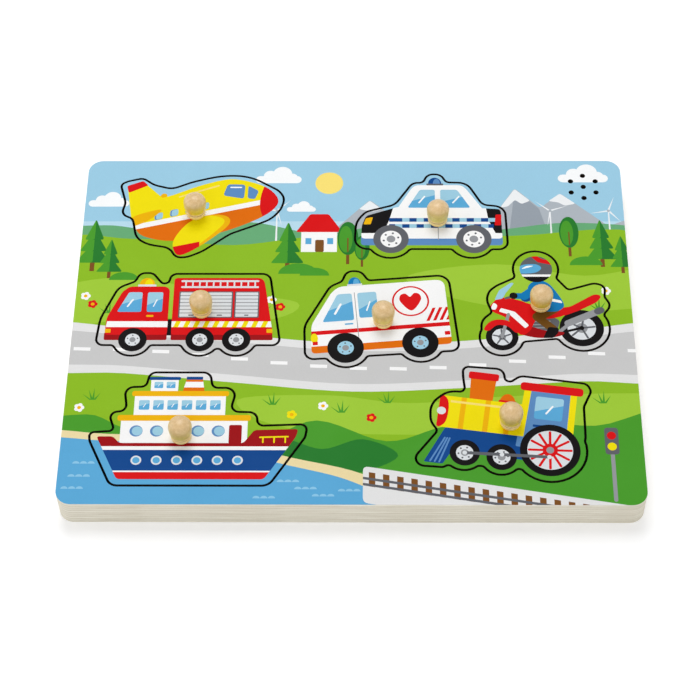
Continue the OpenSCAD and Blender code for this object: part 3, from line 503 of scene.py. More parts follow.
def draw_ambulance(pen: Pen) -> None:
    """Draws an ambulance van that faces left and leans a little."""
    body = pen.poly(Ink.WHITE, (1.8, 14), (3.4, 37), (18.6, 62.4), (24, 66.8), (91.4, 66.8), (94.6, 63.6),
                    (94.6, 14), soft=3.2)
    pen.inside(body)
    pen.box(Ink.ORANGE, 0, 10, 100, 19.6)
    pen.box(Ink.RED, 0, 28.6, 100, 31.8)
    for i in range(5):
        x = 79.4 + 4.4 * i
        pen.poly(Ink.RED, (x, 33.6), (x + 2.2, 33.6), (x + 7.4, 44), (x + 5.2, 44))
    pen.inside(None)
    pen.window((10.8, 38.6), (22.4, 60.6), (32, 60.6), (32, 38.6), soft=1.8)
    pen.pane(35.6, 40, 48.4, 60.6, soft=1.8)
    pen.bar(Ink.GREY, 33.8, 20, 33.8, 61, 0.5)
    pen.bar(Ink.GLASS_DARK, 26, 35.8, 30.6, 35.8, 1.2)
    pen.disc(Ink.RED, 70.6, 50.8, 12.4)
    pen.disc(Ink.WHITE, 70.6, 50.8, 11.2)
    pen.blob(Ink.RED, (70.6, 43), (77.4, 50.8), (77, 56), (73.6, 57.2), (70.6, 54.4), (67.6, 57.2),
             (64.2, 56), (63.8, 50.8))
    pen.disc(Ink.YELLOW, 4.6, 26, 2.4, 4)
    pen.box(Ink.RED, 3.2, 20.6, 6.6, 23.4, soft=0.5)
    pen.box(Ink.RED, 90.6, 21.4, 94.2, 24.4, soft=0.5)
    pen.box(Ink.SILVER, 29.6, 66.6, 39.6, 68.4, soft=0.5)
    pen.dome(Ink.AZURE, 34.6, 68.2, 4.2, 5.6)
    pen.dome(Ink.GLASS_DARK, 35.8, 68.2, 2.2, 4.4)
    for x in (24.5, 73.8):
        pen.wheel(x, 16.8, 12, 5.4, 2.2, disc=Ink.GLASS)


def draw_spokes(pen: Pen, x: float, y: float, reach: float, width: float, start: float) -> None:
    """Draws five spokes out from the point x, y, the first one turned by start fifths of a turn."""
    for i in range(5):
        a = 2 * math.pi * (i + start) / 5
        pen.bar(Ink.STEEL, x, y, x + reach * math.cos(a), y + reach * math.sin(a), width)


def draw_motorbike(pen: Pen) -> None:
    """Draws a motorbike and its rider in a closed helmet, riding to the left."""
    pen.wheel(78.2, 24.9, 17.2, 11, 4.6, disc=Ink.SILVER, bolts=0)
    draw_spokes(pen, 78.2, 24.9, 10, 1.6, 0.1)
    pen.disc(Ink.BLACK, 78.2, 24.9, 2)
    pen.wheel(16.4, 16.4, 12.6, 7.8, 3, disc=Ink.SILVER, bolts=0)
    draw_spokes(pen, 16.4, 16.4, 7, 1.3, 0.3)
    pen.disc(Ink.BLACK, 16.4, 16.4, 1.6)
    pen.bar(Ink.BLACK, 60, 20, 78, 25, 2.2)
    pen.poly(Ink.STEEL, (34, 18), (58, 18.6), (62, 32), (52, 38), (34, 34), soft=3)
    for i in range(4):
        pen.bar(Ink.GREY, 40, 22 + 3 * i, 54, 22.4 + 3 * i, 1)
    pen.bar(Ink.GREY, 57, 17.6, 70, 30, 3)
    pen.bar(Ink.GREY, 68, 29.4, 93, 41.4, 6)
    pen.bar(Ink.STEEL, 91.6, 40.8, 94, 42, 6)
    pen.poly(Ink.RED, (56, 44), (70, 45), (90, 57.6), (95.6, 56), (92, 50), (78, 42), (64, 36), soft=3)
    pen.blob(Ink.RED_DARK, (30, 20), (44, 15.6), (60, 17), (64, 21), (50, 22.6), (38, 26))
    pen.blob(Ink.RED, (8, 42), (10.6, 49.6), (17.4, 54), (30, 51.6), (44, 46), (58, 44), (66, 38), (56, 34),
             (44, 33), (38, 22), (31, 18.4), (25, 27), (20, 34.6))
    pen.poly(Ink.CLOUD, (14.6, 40.6), (23, 37.6), (34.6, 24.6), (37.6, 27.4), (27, 40.4), (16.4, 44), soft=1)
    pen.blob(Ink.CLOUD, (8.8, 43.4), (10.6, 48.6), (13.4, 46.6), (12, 42.6))
    pen.poly(Ink.GLASS, (11.6, 51.6), (15.4, 61), (25, 68.6), (27.4, 68), (20.6, 58.6), (18, 53), soft=1.4)
    pen.bar(Ink.GREY, 16.4, 16.4, 22, 38, 2.6)
    pen.blob(Ink.RED, (2.6, 24), (7.6, 31), (16, 33), (25, 29.6), (30, 21.6), (27, 20.6), (21, 26.4),
             (13, 27.6), (6.4, 22.4))
    pen.bar(Ink.STEEL, 20.4, 53.4, 28.6, 56, 2)
    pen.bar(Ink.BROWN, 58, 44, 45, 35.6, 9)
    pen.bar(Ink.BROWN, 45, 34.6, 56, 24, 7)
    pen.poly(Ink.BLACK, (49.6, 19), (52.6, 26), (60.6, 25), (60, 20.6), (56, 15.6), (48, 15.4), soft=1.6)
    pen.blob(Ink.AZURE, (39, 66), (46, 70.6), (54, 68), (61, 58), (65.6, 46.6), (60, 41), (49, 41.4),
             (41, 47), (37.6, 56))
    pen.poly(Ink.WHITE, (40.6, 57.4), (63.6, 51.2), (64.4, 48.6), (39.8, 54.2), soft=0.6)
    pen.bar(Ink.NAVY, 45, 62.4, 36, 54, 8.4)
    pen.bar(Ink.AZURE, 45, 63.4, 35, 55.4, 7.4)
    pen.bar(Ink.AZURE, 35, 55.4, 28.6, 55.6, 5.6)
    pen.disc(Ink.BLACK, 26.6, 55.8, 3.2)
    helmet = pen.disc(Ink.STEEL, 45.2, 81.8, 12.8)
    pen.inside(helmet)
    pen.poly(Ink.BLACK, (28, 68), (28, 74.6), (60, 74.6), (60, 68))
    pen.poly(Ink.WHITE, (28, 74.4), (28, 76.6), (60, 76.6), (60, 74.4))
    pen.blob(Ink.GLASS_DARK, (31, 79), (34, 85.6), (45, 86.6), (49.4, 83), (45, 78.6), (35, 77.4))
    pen.blob(Ink.CLOUD, (34, 82), (38, 85), (43, 85), (40, 83.6))
    pen.poly(Ink.RED, (40, 96), (47, 88.6), (58, 86), (58, 90), (50, 92), (45, 96), soft=0.8)
    pen.inside(None)


def draw_locomotive(pen: Pen) -> None:
    """Draws a small steam engine that faces left and leans a little."""
    pen.poly(Ink.NAVY, (7.6, 6.6), (18.4, 6.6), (22.4, 15.4), (80, 15.4), (80, 31), (17, 31), soft=1)
    for i in range(3):
        pen.bar(Ink.BLUE, 11.2 + 2.6 * i, 7.6, 17.6 + 1.4 * i, 24, 1)
    pen.poly(Ink.ORANGE, (28.6, 50), (27.6, 68), (42.6, 68), (41.6, 50))
    pen.box(Ink.RED, 26.2, 66.4, 43.8, 71.4, soft=1.4)
    pen.dome(Ink.ORANGE, 50.4, 52, 4.6, 6.6)
    pen.box(Ink.RED, 45.2, 51.6, 55.6, 54, soft=0.8)
    boiler = pen.poly(Ink.YELLOW, (11.6, 31), (11.6, 52.6), (60, 52.6), (60, 31), soft=1.5)
    pen.inside(boiler)
    pen.blob(Ink.RED, (8, 31), (8, 53), (15.6, 51), (17.4, 42), (15.6, 33))
    for x in (24, 38, 50):
        pen.box(Ink.AMBER, x, 30, x + 3, 54)
    pen.box(Ink.SUN, 18, 48.4, 60, 49.8)
    pen.inside(None)
    pen.disc(Ink.SILVER, 13.4, 42, 2.6)
    pen.poly(Ink.BLUE, (58, 24), (60, 64), (89.6, 64), (89.6, 24), soft=1)
    pen.poly(Ink.YELLOW, (57.6, 31), (59.4, 64), (63.4, 64), (61.8, 31))
    pen.box(Ink.YELLOW, 86, 24, 89.8, 64)
    pen.box(Ink.RED, 56.8, 62.6, 93.2, 68.2, soft=2.2)
    pen.pane(66.4, 44, 82.6, 59.4, soft=1.6)
    pen.box(Ink.NAVY, 66.4, 38.4, 82.6, 40, soft=0.4)
    for x in (30, 51):
        pen.wheel(x, 15.6, 8.6, 8.6 * 0.58, 8.6 * 0.26, bolts=6)
    pen.disc(Ink.BLACK, 77.8, 24, 17.2)
    pen.disc(Ink.SILVER, 77.8, 24, 13)
    for i in range(6):
        a = math.pi * (i + 0.2) / 6
        dx, dy = 12 * math.cos(a), 12 * math.sin(a)
        pen.bar(Ink.RED, 77.8 - dx, 24 - dy, 77.8 + dx, 24 + dy, 1.5)
    pen.disc(Ink.RED, 77.8, 24, 4.4)
    pen.disc(Ink.GREY, 77.8, 24, 2.2)
    pen.bar(Ink.STEEL, 30, 15.6, 77.8, 19.4, 2)
    for x, y in ((30, 15.6), (51, 17.2), (77.8, 19.4)):
        pen.disc(Ink.SILVER, x, y, 1.3)


def draw_pine(pen: Pen, x: float, y: float, tall: float) -> None:
    """Draws a fir tree of three tiers that stands on the point x, y."""
    pen.box(Ink.TRUNK, x - tall * 0.035, y, x + tall * 0.035, y + tall * 0.3)
    for low, wide in ((0.16, 0.27), (0.38, 0.21), (0.6, 0.15)):
        left, base, top = x - tall * wide, y + tall * low, (x, y + tall * (low + 0.4))
        pen.poly(Ink.LEAF_DARK, (left, base), (x + tall * wide, base), top, soft=tall * 0.05)
        pen.poly(Ink.LEAF, (left, base), (x, base), top, soft=tall * 0.04)


def draw_poplar(pen: Pen, x: float, y: float, tall: float) -> None:
    """Draws a slender tree with a split crown that stands on the point x, y."""
    pen.box(Ink.TRUNK, x - tall * 0.03, y, x + tall * 0.03, y + tall * 0.4)
    pen.disc(Ink.LEAF_DARK, x, y + tall * 0.62, tall * 0.2, tall * 0.4)
    pen.disc(Ink.LEAF, x - tall * 0.04, y + tall * 0.6, tall * 0.13, tall * 0.32)
    pen.bar(Ink.TRUNK, x, y + tall * 0.3, x, y + tall * 0.62, tall * 0.025)


def draw_cloud(pen: Pen, x: float, y: float, wide: float) -> None:
    """Draws a flat cloud of three lobes whose base starts at the point x, y."""
    pen.bar(Ink.CLOUD, x + wide * 0.1, y + wide * 0.1, x + wide * 0.9, y + wide * 0.1, wide * 0.2)
    pen.disc(Ink.CLOUD, x + wide * 0.32, y + wide * 0.2, wide * 0.15)
    pen.disc(Ink.CLOUD, x + wide * 0.58, y + wide * 0.25, wide * 0.21)
    pen.disc(Ink.CLOUD, x + wide * 0.8, y + wide * 0.16, wide * 0.11)


def draw_tuft(pen: Pen, x: float, y: float, size: float) -> None:
    """Draws a tuft of grass, or of reed, on the point x, y."""
    for lean, tall in ((-1.2, 0.9), (-0.4, 1.5), (0.3, 1.8), (1.1, 1.1)):
        pen.poly(Ink.LEAF, (x + lean * 0.2 * size, y), (x + (lean * 0.2 + 0.3) * size, y),
                 (x + lean * size, y + tall * size))


def draw_flower(pen: Pen, x: float, y: float, ink: Ink) -> None:
    """Draws a flower of five petals."""
    for petal in arc(x, y, 0.5, 0.5, range(0, 360, 72)):
        pen.disc(ink, *petal, 0.42)
    pen.disc(Ink.AMBER, x, y, 0.34)


def draw_turbine(pen: Pen, x: float, y: float, tall: float, start: float) -> None:
    """Draws a wind turbine that stands on the point x, y."""
    foot, top = tall * 0.025, tall * 0.014
    pen.poly(Ink.SNOW, (x - foot, y), (x + foot, y), (x + top, y + tall), (x - top, y + tall))
    for i in range(3):
        a = math.radians(start + 120 * i)
        dx, dy = tall * math.cos(a), tall * math.sin(a)
        pen.poly(Ink.SNOW, (x - 0.03 * dy, y + tall + 0.03 * dx), (x + 0.48 * dx, y + tall + 0.48 * dy),
                 (x + 0.02 * dy, y + tall - 0.02 * dx), soft=0.1)
    pen.disc(Ink.PEAK, x, y + tall, tall * 0.04)


def draw_landscape(pen: Pen) -> None:
    """Draws hills, a lane, a lake shore and a railway line, over the whole board."""
    pen.box(Ink.SKY, -2, -2, 102, 77)
    pen.box(Ink.SKY_PALE, -2, 50, 102, 60.5)
    pen.disc(Ink.SUN, 45.4, 69.6, 2.6)
    for x, y, wide in ((0.6, 64, 7.6), (31.6, 69.6, 8.6), (88.2, 69.8, 9.4), (37.6, 62.8, 5.4)):
        draw_cloud(pen, x, y, wide)
    for points in (
        ((46, 58), (53, 65.6), (57.6, 61.4), (61, 64.4), (69, 57)),
        ((73, 57), (80, 68.4), (84.6, 63.6), (88.4, 67.2), (97, 59.4), (102, 61.6), (102, 56)),
    ):
        pen.poly(Ink.PEAK, *points, soft=0.8)
    pen.poly(Ink.PEAK_DARK, (80, 68), (84.4, 63.5), (86, 57), (78.6, 57), soft=0.4)
    pen.poly(Ink.SNOW, (77.2, 63.8), (80, 68.2), (82.8, 65.4), (81.2, 64.6), (80, 65.6), (78.6, 64), soft=0.4)
    pen.poly(Ink.SNOW, (86.2, 65.3), (88.4, 67.1), (91.2, 64.7), (89.2, 64.2), (88, 65), soft=0.4)
    pen.poly(Ink.SNOW, (51, 63.4), (53, 65.4), (55.2, 63.4), (53.6, 62.8), soft=0.3)
    pen.blob(Ink.HILL, (-6, 58), (4, 59.6), (14, 58.6), (30, 60.4), (44, 57.6), (58, 60), (74, 58.4),
             (90, 60.2), (106, 58), (106, 50), (50, 48), (-6, 50))
    for x, start in ((86.4, 20), (97.2, 70), (35.8, 45)):
        draw_turbine(pen, x, 55.6, 7.4, start)
    pen.blob(Ink.GRASS, (-6, 54), (10, 56.4), (28, 55), (44, 57), (62, 55.4), (80, 57.2), (106, 55.4),
             (106, 20), (50, 10), (-6, 20))
    pen.blob(Ink.GRASS_PALE, (-6, 44), (8, 47.6), (24, 44.6), (40, 42), (34, 38), (12, 38.6), (-6, 36))
    pen.blob(Ink.GRASS_PALE, (60, 48), (76, 50.6), (92, 48), (106, 50), (106, 42), (84, 40), (66, 43.6))
    pen.box(Ink.WHITE, 40.4, 53.4, 47, 58.4)
    pen.poly(Ink.RED, (39.4, 58), (48, 58), (45.4, 62.2), (42, 62.2), soft=0.4)
    pen.box(Ink.TRUNK, 43, 53.4, 44.6, 56.2, soft=0.3)
    pen.box(Ink.GLASS_DARK, 41.2, 55.2, 42.3, 56.6)
    pen.box(Ink.GLASS_DARK, 45.2, 55.2, 46.3, 56.6)
    for x, y, tall in ((2.4, 49, 12), (5.6, 47.4, 9), (38, 49, 11.4), (95.4, 50, 11), (99, 48.6, 8.6)):
        draw_pine(pen, x, y, tall)
    for x, y, tall in ((49, 50.6, 9.6), (89.6, 52.4, 9), (51.6, 50, 7)):
        draw_poplar(pen, x, y, tall)
    for x, y, r in ((40, 48.4, 2.4), (43, 48, 1.8), (92.4, 50.4, 2), (8.4, 47, 1.8)):
        pen.dome(Ink.LEAF, x, y, r * 1.5, r)
    pen.blob(Ink.KERB, (-6, 37.2), (10, 36.4), (30, 34.8), (50, 33), (70, 33.6), (90, 36), (106, 37),
             (106, 25.4), (90, 25), (70, 23.6), (50, 22.8), (30, 24.6), (10, 26.6), (-6, 27.6))
    pen.blob(Ink.ROAD, (-6, 35.6), (10, 34.8), (30, 33.2), (50, 31.4), (70, 32), (90, 34.4), (106, 35.4),
             (106, 27), (90, 26.6), (70, 25.2), (50, 24.4), (30, 26.2), (10, 28.2), (-6, 29.2))
    for i in range(15):
        x = 0.6 + 7 * i
        y = 29.4 + 2.1 * math.cos(math.radians((x - 2) * 3.4))
        pen.poly(Ink.WHITE, (x, y), (x + 3, y - 0.1), (x + 3, y + 0.6), (x, y + 0.7))
    pen.blob(Ink.GRASS_PALE, (30, 21), (46, 22), (60, 20.4), (80, 22), (106, 22), (106, 16), (70, 14),
             (40, 15))
    pen.blob(Ink.LEAF, (-6, 14), (4, 18), (12, 15), (22, 17.6), (34, 13), (44, 16.8), (56, 12.6),
             (66, 15.6), (78, 17), (92, 15.8), (106, 18), (106, -6), (-6, -6))
    pen.blob(Ink.LEAF_DARK, (32, 10), (38, 13), (45, 11), (52, 13), (58, 9.6), (50, 6), (38, 6))
    pen.blob(Ink.SAND, (-6, 13), (8, 14), (26, 12.6), (40, 9.2), (52, 6), (62, 0), (62, -6), (-6, -6))
    pen.blob(Ink.WATER, (-6, 11.6), (8, 12.6), (26, 11), (39, 7.8), (50, 4.6), (59, -1), (58, -6), (-6, -6))
    for x, y in ((3, 8), (1.4, 3), (38, 4.4), (44, 1.6), (48.4, 2.6), (34, 1.2), (41, 3), (2.4, 5.4)):
        for k in range(3):
            pen.dome(Ink.WATER_PALE, x + 1.3 * k, y, 0.62, 0.5)
    pen.poly(Ink.KERB, (52, 7.6), (106, -1.6), (106, -9), (52, 0.4), soft=1)
    for i in range(22):
        x = 53 + 2.4 * i
        y = 5.2 - (x - 53) * 0.17
        pen.poly(Ink.TRUNK, (x, y - 1.6), (x + 1.1, y - 1.8), (x + 1.1, y + 1), (x, y + 1.2))
    for low in (-0.7, 0.5):
        pen.poly(Ink.STEEL, (52, 5 + low), (106, -4.2 + low), (106, -4.7 + low), (52, 4.5 + low))
    pen.bar(Ink.GREY, 94.6, 1, 94.6, 14, 0.7)
    pen.box(Ink.STEEL, 93.4, 10, 95.8, 15.4, soft=0.6)
    pen.disc(Ink.RED, 94.6, 13.8, 0.8)
    pen.disc(Ink.YELLOW, 94.6, 11.6, 0.8)
    for x, y, size in ((33.6, 39.6, 1.6), (52, 41, 1.4), (62, 38.6, 1.4), (93.8, 40.6, 1.5),
                       (36, 20, 1.5), (48, 18.4, 1.5), (56, 20.4, 1.4), (93.4, 20.4, 1.5), (4.6, 21, 1.4),
                       (6, 39.6, 1.4), (35, 9.6, 1.8)):
        draw_tuft(pen, x, y, size)
    for x, y, ink in ((35.4, 42.6, Ink.WHITE), (37, 41, Ink.RED), (50.6, 43.2, Ink.WHITE),
                      (63.4, 41.4, Ink.YELLOW), (3.2, 41.6, Ink.RED), (1.8, 43.4, Ink.WHITE),
                      (45, 19.8, Ink.WHITE), (39.6, 18, Ink.YELLOW), (87.6, 21, Ink.RED),
                      (95.6, 44.6, Ink.WHITE), (2.6, 19.4, Ink.WHITE), (53.4, 17.4, Ink.RED)):
        draw_flower(pen, x, y, ink)


def new_group(name: str, inputs: dict[str, tuple[str, object]],
              outputs: dict[str, str]) -> tuple[Graph, dict[str, Link], dict[str, Link]]:
    """Starts a shader node group.

    Args:
        name: the group's name.
        inputs: kind and first value of each input, by name.
        outputs: kind of each output, by name.

    Returns:
        The group's graph, its inputs' sockets and its outputs' sockets, by name.
    """
    tree = bpy.data.node_groups.new(name, "ShaderNodeTree")
    for label, (kind, value) in inputs.items():
        socket = tree.interface.new_socket(label, in_out="INPUT", socket_type="NodeSocket" + kind)
        if value is not None:
            socket.default_value = value
    for label, kind in outputs.items():
        tree.interface.new_socket(label, in_out="OUTPUT", socket_type="NodeSocket" + kind)
    start, end = tree.nodes.new("NodeGroupInput"), tree.nodes.new("NodeGroupOutput")
    return Graph(tree), {s.name: s for s in start.outputs}, {s.name: s for s in end.inputs}


def grain_group() -> bpy.types.NodeTree:
    """Builds the grain of a board's face or of a turned knob, which runs along the vector's X.

    Returns:
        A group whose vector is in millimetres.
    """
    graph, given, made = new_group(
        "wood_grain",
        {"Vector": ("Vector", None), "Pitch": ("Float", 4.0), "Bend": ("Float", 5.0),
         "Figure": ("Float", 0.5), "Light": ("Color", (0.7, 0.6, 0.45, 1)),
         "Dark": ("Color", (0.5, 0.4, 0.25, 1))},
        {"Color": "Color", "Height": "Float"},
    )
    place = given["Vector"]
    slow = graph.stretch(place, 0.012, 0.05, 0.05)
    drift = graph.math("MULTIPLY", graph.math("SUBTRACT", graph.noise(slow, 1.0, 2.0), 0.5), given["Bend"])
    split = graph.add("SeparateXYZ", {"Vector": place}).outputs
    across = graph.math("ADD", graph.math("MULTIPLY_ADD", split["Z"], 0.45, split["Y"]), drift)
    turns = graph.math("DIVIDE", across, given["Pitch"])
    ring = graph.math("POWER", graph.math("FRACT", turns), 2.2)
    fade = graph.ramp(graph.math("FRACT", turns), 1.0, 0.86)
    ring = graph.math("MULTIPLY", ring, fade)
    streaks = graph.noise(graph.stretch(place, 0.06, 1.5, 1.5), 1.0, 4.0, 0.6)
    pores = graph.ramp(graph.noise(graph.stretch(place, 0.35, 5.0, 5.0), 1.0, 1.0), 0.62, 0.74)
    cloud = graph.noise(graph.stretch(place, 0.02, 0.045, 0.045), 1.0, 3.0)
    share = graph.math("MULTIPLY_ADD", ring, 0.42, graph.math("MULTIPLY", streaks, 0.5))
    share = graph.math("MULTIPLY_ADD", cloud, 0.35, share)
    share = graph.math("MULTIPLY", share, given["Figure"], clamp=True)
    colour = graph.mix(share, given["Light"], given["Dark"])
    colour = graph.mix(graph.math("MULTIPLY", pores, 0.16), colour, (0.2, 0.12, 0.05, 1))
    graph.put(made["Color"], colour)
    graph.put(made["Height"], graph.math("MULTIPLY_ADD", pores, -0.5, streaks))
    return graph.tree


def layers_group() -> bpy.types.NodeTree:
    """Builds the plies that show on a board's sawn edge, with glue lines between them.

    Returns:
        A group whose vector is in millimetres, with Z counted from the board's lower face.
    """
    graph, given, made = new_group(
        "ply_layers",
        {"Vector": ("Vector", None), "Ply": ("Float", 1.2), "Light": ("Color", (0.7, 0.65, 0.5, 1)),
         "Dark": ("Color", (0.5, 0.45, 0.3, 1))},
        {"Color": "Color", "Height": "Float"},
    )
    place = given["Vector"]
    wander = graph.math("MULTIPLY_ADD", graph.noise(place, 0.03, 1.0), 0.22, -0.11)
    height = graph.math("DIVIDE", graph.math("ADD", graph.height(place), wander), given["Ply"])
    index = graph.math("FLOOR", height)
    odd = graph.math("FLOORED_MODULO", index, 2.0)
    away = graph.math("ABSOLUTE", graph.math("SUBTRACT", graph.math("FRACT", height), 0.5))
    glue = graph.ramp(away, 0.44, 0.5)
    along = graph.noise(graph.stretch(place, 0.05, 0.05, 2.4), 1.0, 4.0, 0.6)
    along = graph.ramp(along, 0.34, 0.68)
    ends = graph.noise(graph.stretch(place, 1.7, 1.7, 0.5), 1.0, 3.0, 0.7)
    tint = graph.add("TexWhiteNoise", {"W": index}, noise_dimensions="1D").outputs["Value"]
    long_ply = graph.math("MULTIPLY_ADD", along, 0.5, graph.math("MULTIPLY", tint, 0.25))
    end_ply = graph.math("MULTIPLY_ADD", ends, 0.45, graph.math("MULTIPLY_ADD", along, 0.3, 0.2))
    share = graph.math("MULTIPLY_ADD", graph.math("SUBTRACT", end_ply, long_ply), odd, long_ply)
    colour = graph.mix(share, given["Light"], given["Dark"])
    colour = graph.mix(graph.math("MULTIPLY", glue, 0.14), colour, (0.28, 0.19, 0.1, 1))
    graph.put(made["Color"], colour)
    graph.put(made["Height"], graph.math("MULTIPLY_ADD", glue, -0.6, ends))
    return graph.tree


def handling_group() -> bpy.types.NodeTree:
    """Builds the faint unevenness of a handled surface: broad smudges and fine specks, from 0 to 1."""
    graph, given, made = new_group(
        "handling", {"Vector": ("Vector", None), "Grit": ("Float", 6.0)}, {"Smudge": "Float", "Fine": "Float"}
    )
    broad = graph.noise(given["Vector"], 0.035, 4.0, 0.6, 0.6)
    graph.put(made["Smudge"], graph.ramp(broad, 0.35, 0.7))
    graph.put(made["Fine"], graph.noise(given["Vector"], given["Grit"], 2.0))
    return graph.tree


def rim_group() -> bpy.types.NodeTree:
    """Builds a mask that is 1 on the board's outer rim and 0 further in. Its vector is in millimetres."""
    graph, given, made = new_group("outer_rim", {"Vector": ("Vector", None)}, {"Mask": "Float"})
    inner = (BOARD / 2 - Vector((CORNER, CORNER, 0))) / MM
    outward = graph.vector("ABSOLUTE", graph.stretch(given["Vector"], 1, 1, 0)).outputs[0]
    past = graph.vector("SUBTRACT", outward, (inner.x, inner.y, 0)).outputs[0]
    past = graph.vector("MAXIMUM", past, (0, 0, 0)).outputs[0]
    length = graph.vector("LENGTH", past).outputs["Value"]
    graph.put(made["Mask"], graph.ramp(length, CORNER / MM - 0.5, CORNER / MM - 0.2))
    return graph.tree


class Shared(Enum):
    """The node groups that several finishes use."""

    GRAIN = "wood_grain"
    LAYERS = "ply_layers"
    HANDLING = "handling"
    RIM = "outer_rim"

    def place(self, graph: Graph, inputs: dict[str, object]) -> bpy.types.Node:
        """Adds this group to a tree, and builds it first if it isn't there yet.

        Args:
            graph: the material's graph.
            inputs: values or sockets for the group's inputs.

        Returns:
            The group node.
        """
        makers = {"wood_grain": grain_group, "ply_layers": layers_group, "handling": handling_group,
                  "outer_rim": rim_group}
        tree = bpy.data.node_groups.get(self.value) or makers[self.value]()
        node = graph.add("Group", node_tree=tree)
        for key, value in inputs.items():
            graph.put(node.inputs[key], value)
        return node


@dataclass(frozen=True)
class Finish:
    """A surface finish: its name, its colour and how it shines. Subclasses draw its pattern."""

    name: str
    colour: tuple[float, float, float] = (200, 200, 200)
    rough: float = 0.5
    metal: float = 0.0
    coat: float = 0.0
    coat_rough: float = 0.12
    gleam: float = 0.5

    def make(self) -> bpy.types.Material:
        """Builds the material, once.

        Returns:
            The material with this finish.
        """
        label = self.name + "_finish"
        ready = bpy.data.materials.get(label)
        if ready:
            return ready
        material = bpy.data.materials.new(label)
        material.use_nodes = True
        graph = Graph(material.node_tree)
        shader = material.node_tree.nodes["Principled BSDF"]
        for socket, value in (("Metallic", self.metal), ("Specular IOR Level", self.gleam),
                              ("Coat Weight", self.coat), ("Coat Roughness", self.coat_rough)):
            shader.inputs[socket].default_value = value
        coordinates = graph.add("TexCoord").outputs["Object"]
        place = graph.add("Mapping", {"Vector": coordinates, "Scale": (1 / MM, 1 / MM, 1 / MM)}).outputs[0]
        colour, rough, height, depth = self.pattern(graph, place)
        graph.put(shader.inputs["Base Color"], colour)
        graph.put(shader.inputs["Roughness"], rough)
        bump = graph.add("Bump", {"Height": height, "Strength": 1.0, "Distance": depth * MM})
        graph.put(shader.inputs["Normal"], bump.outputs[0])
        return material

    def pattern(self, graph: Graph, place: Link) -> tuple[Link, Link, Link, float]:
        """Draws the finish.

        Args:
            graph: the material's graph.
            place: the point on the object, in millimetres.

        Returns:
            Colour, roughness, height from 0 to 1 and the depth of that height in millimetres.
        """
        hand = Shared.HANDLING.place(graph, {"Vector": place}).outputs
        dark = shaded(self.colour, (0.9, 0.9, 0.9))
        colour = graph.mix(hand["Smudge"], linear(self.colour), dark)
        rough = graph.math("MULTIPLY_ADD", hand["Smudge"], 0.12, self.rough)
        return colour, rough, hand["Fine"], 0.01


@dataclass(frozen=True)
class Printed(Finish):
    """Varnished print on paper, whose inks are in the mesh's ink colours."""

    rough: float = 0.42
    gleam: float = 0.045

    def pattern(self, graph: Graph, place: Link) -> tuple[Link, Link, Link, float]:
        """Draws the ink with the paper's fibres under the varnish, as Finish.pattern says."""
        ink = graph.add("Attribute", attribute_name="ink").outputs["Color"]
        hand = Shared.HANDLING.place(graph, {"Vector": place, "Grit": 2.2}).outputs
        fibres = graph.noise(graph.stretch(place, 1.0, 0.7, 1.0), 1.4, 5.0, 0.7)
        tone = graph.ramp(fibres, 0.3, 0.7, 0.965, 1.0)
        tone = graph.math("MULTIPLY", tone, graph.ramp(hand["Smudge"], 0.0, 1.0, 1.0, 0.985))
        tones = graph.add("CombineColor", {"Red": tone, "Green": tone, "Blue": tone}).outputs[0]
        rough = graph.math("MULTIPLY_ADD", hand["Smudge"], 0.1, self.rough)
        return graph.mix(1.0, ink, tones, "MULTIPLY"), rough, fibres, 0.012


@dataclass(frozen=True)
class Plywood(Finish):
    """Birch plywood: grain on its faces, plies on its edges, and dark walls where it was cut out."""

    colour: tuple[float, float, float] = (226, 214, 190)
    edge_colour: tuple[float, float, float] = (240, 237, 224)
    rough: float = 0.62
    gleam: float = 0.25
    char: tuple[float, float, float] = (30, 23, 19)
    char_pale: tuple[float, float, float] = (62, 46, 34)
    low: float = 0.0
    ply: float = 1.0
    burnt: bool = False
    all_burnt: bool = False

    def pattern(self, graph: Graph, place: Link) -> tuple[Link, Link, Link, float]:
        """Draws faces, edges and cut walls, as Finish.pattern says."""
        dark = shaded(self.colour, (0.86, 0.78, 0.66))
        face = Shared.GRAIN.place(graph, {"Vector": place, "Pitch": 5.5, "Bend": 34.0, "Figure": 0.62,
                                          "Light": linear(self.colour), "Dark": dark}).outputs
        lifted = graph.vector("SUBTRACT", place, (0, 0, self.low / MM)).outputs[0]
        shade = shaded(self.edge_colour, (0.81, 0.78, 0.725))
        edge = Shared.LAYERS.place(graph, {"Vector": lifted, "Ply": self.ply, "Dark": shade,
                                           "Light": linear(self.edge_colour)}).outputs
        normal = graph.height(graph.add("NewGeometry").outputs["Normal"])
        flat = graph.ramp(graph.math("ABSOLUTE", normal), 0.4, 0.6)
        colour = graph.mix(flat, edge["Color"], face["Color"])
        height = graph.math("MULTIPLY_ADD", graph.math("SUBTRACT", face["Height"], edge["Height"]), flat,
                            edge["Height"])
        rough = graph.math("MULTIPLY_ADD", height, 0.14, self.rough)
        if self.burnt or self.all_burnt:
            scorch = graph.noise(graph.stretch(place, 0.9, 0.9, 0.25), 1.0, 4.0, 0.7)
            char = graph.mix(graph.ramp(scorch, 0.35, 0.7), linear(self.char), linear(self.char_pale))
            char = graph.mix(0.25, char, edge["Color"], "MULTIPLY")
            walls = graph.math("SUBTRACT", 1.0, flat)
            if not self.all_burnt:
                rim = Shared.RIM.place(graph, {"Vector": place}).outputs["Mask"]
                walls = graph.math("MULTIPLY", walls, graph.math("SUBTRACT", 1.0, rim))
            colour = graph.mix(walls, colour, char)
        return colour, rough, height, 0.06


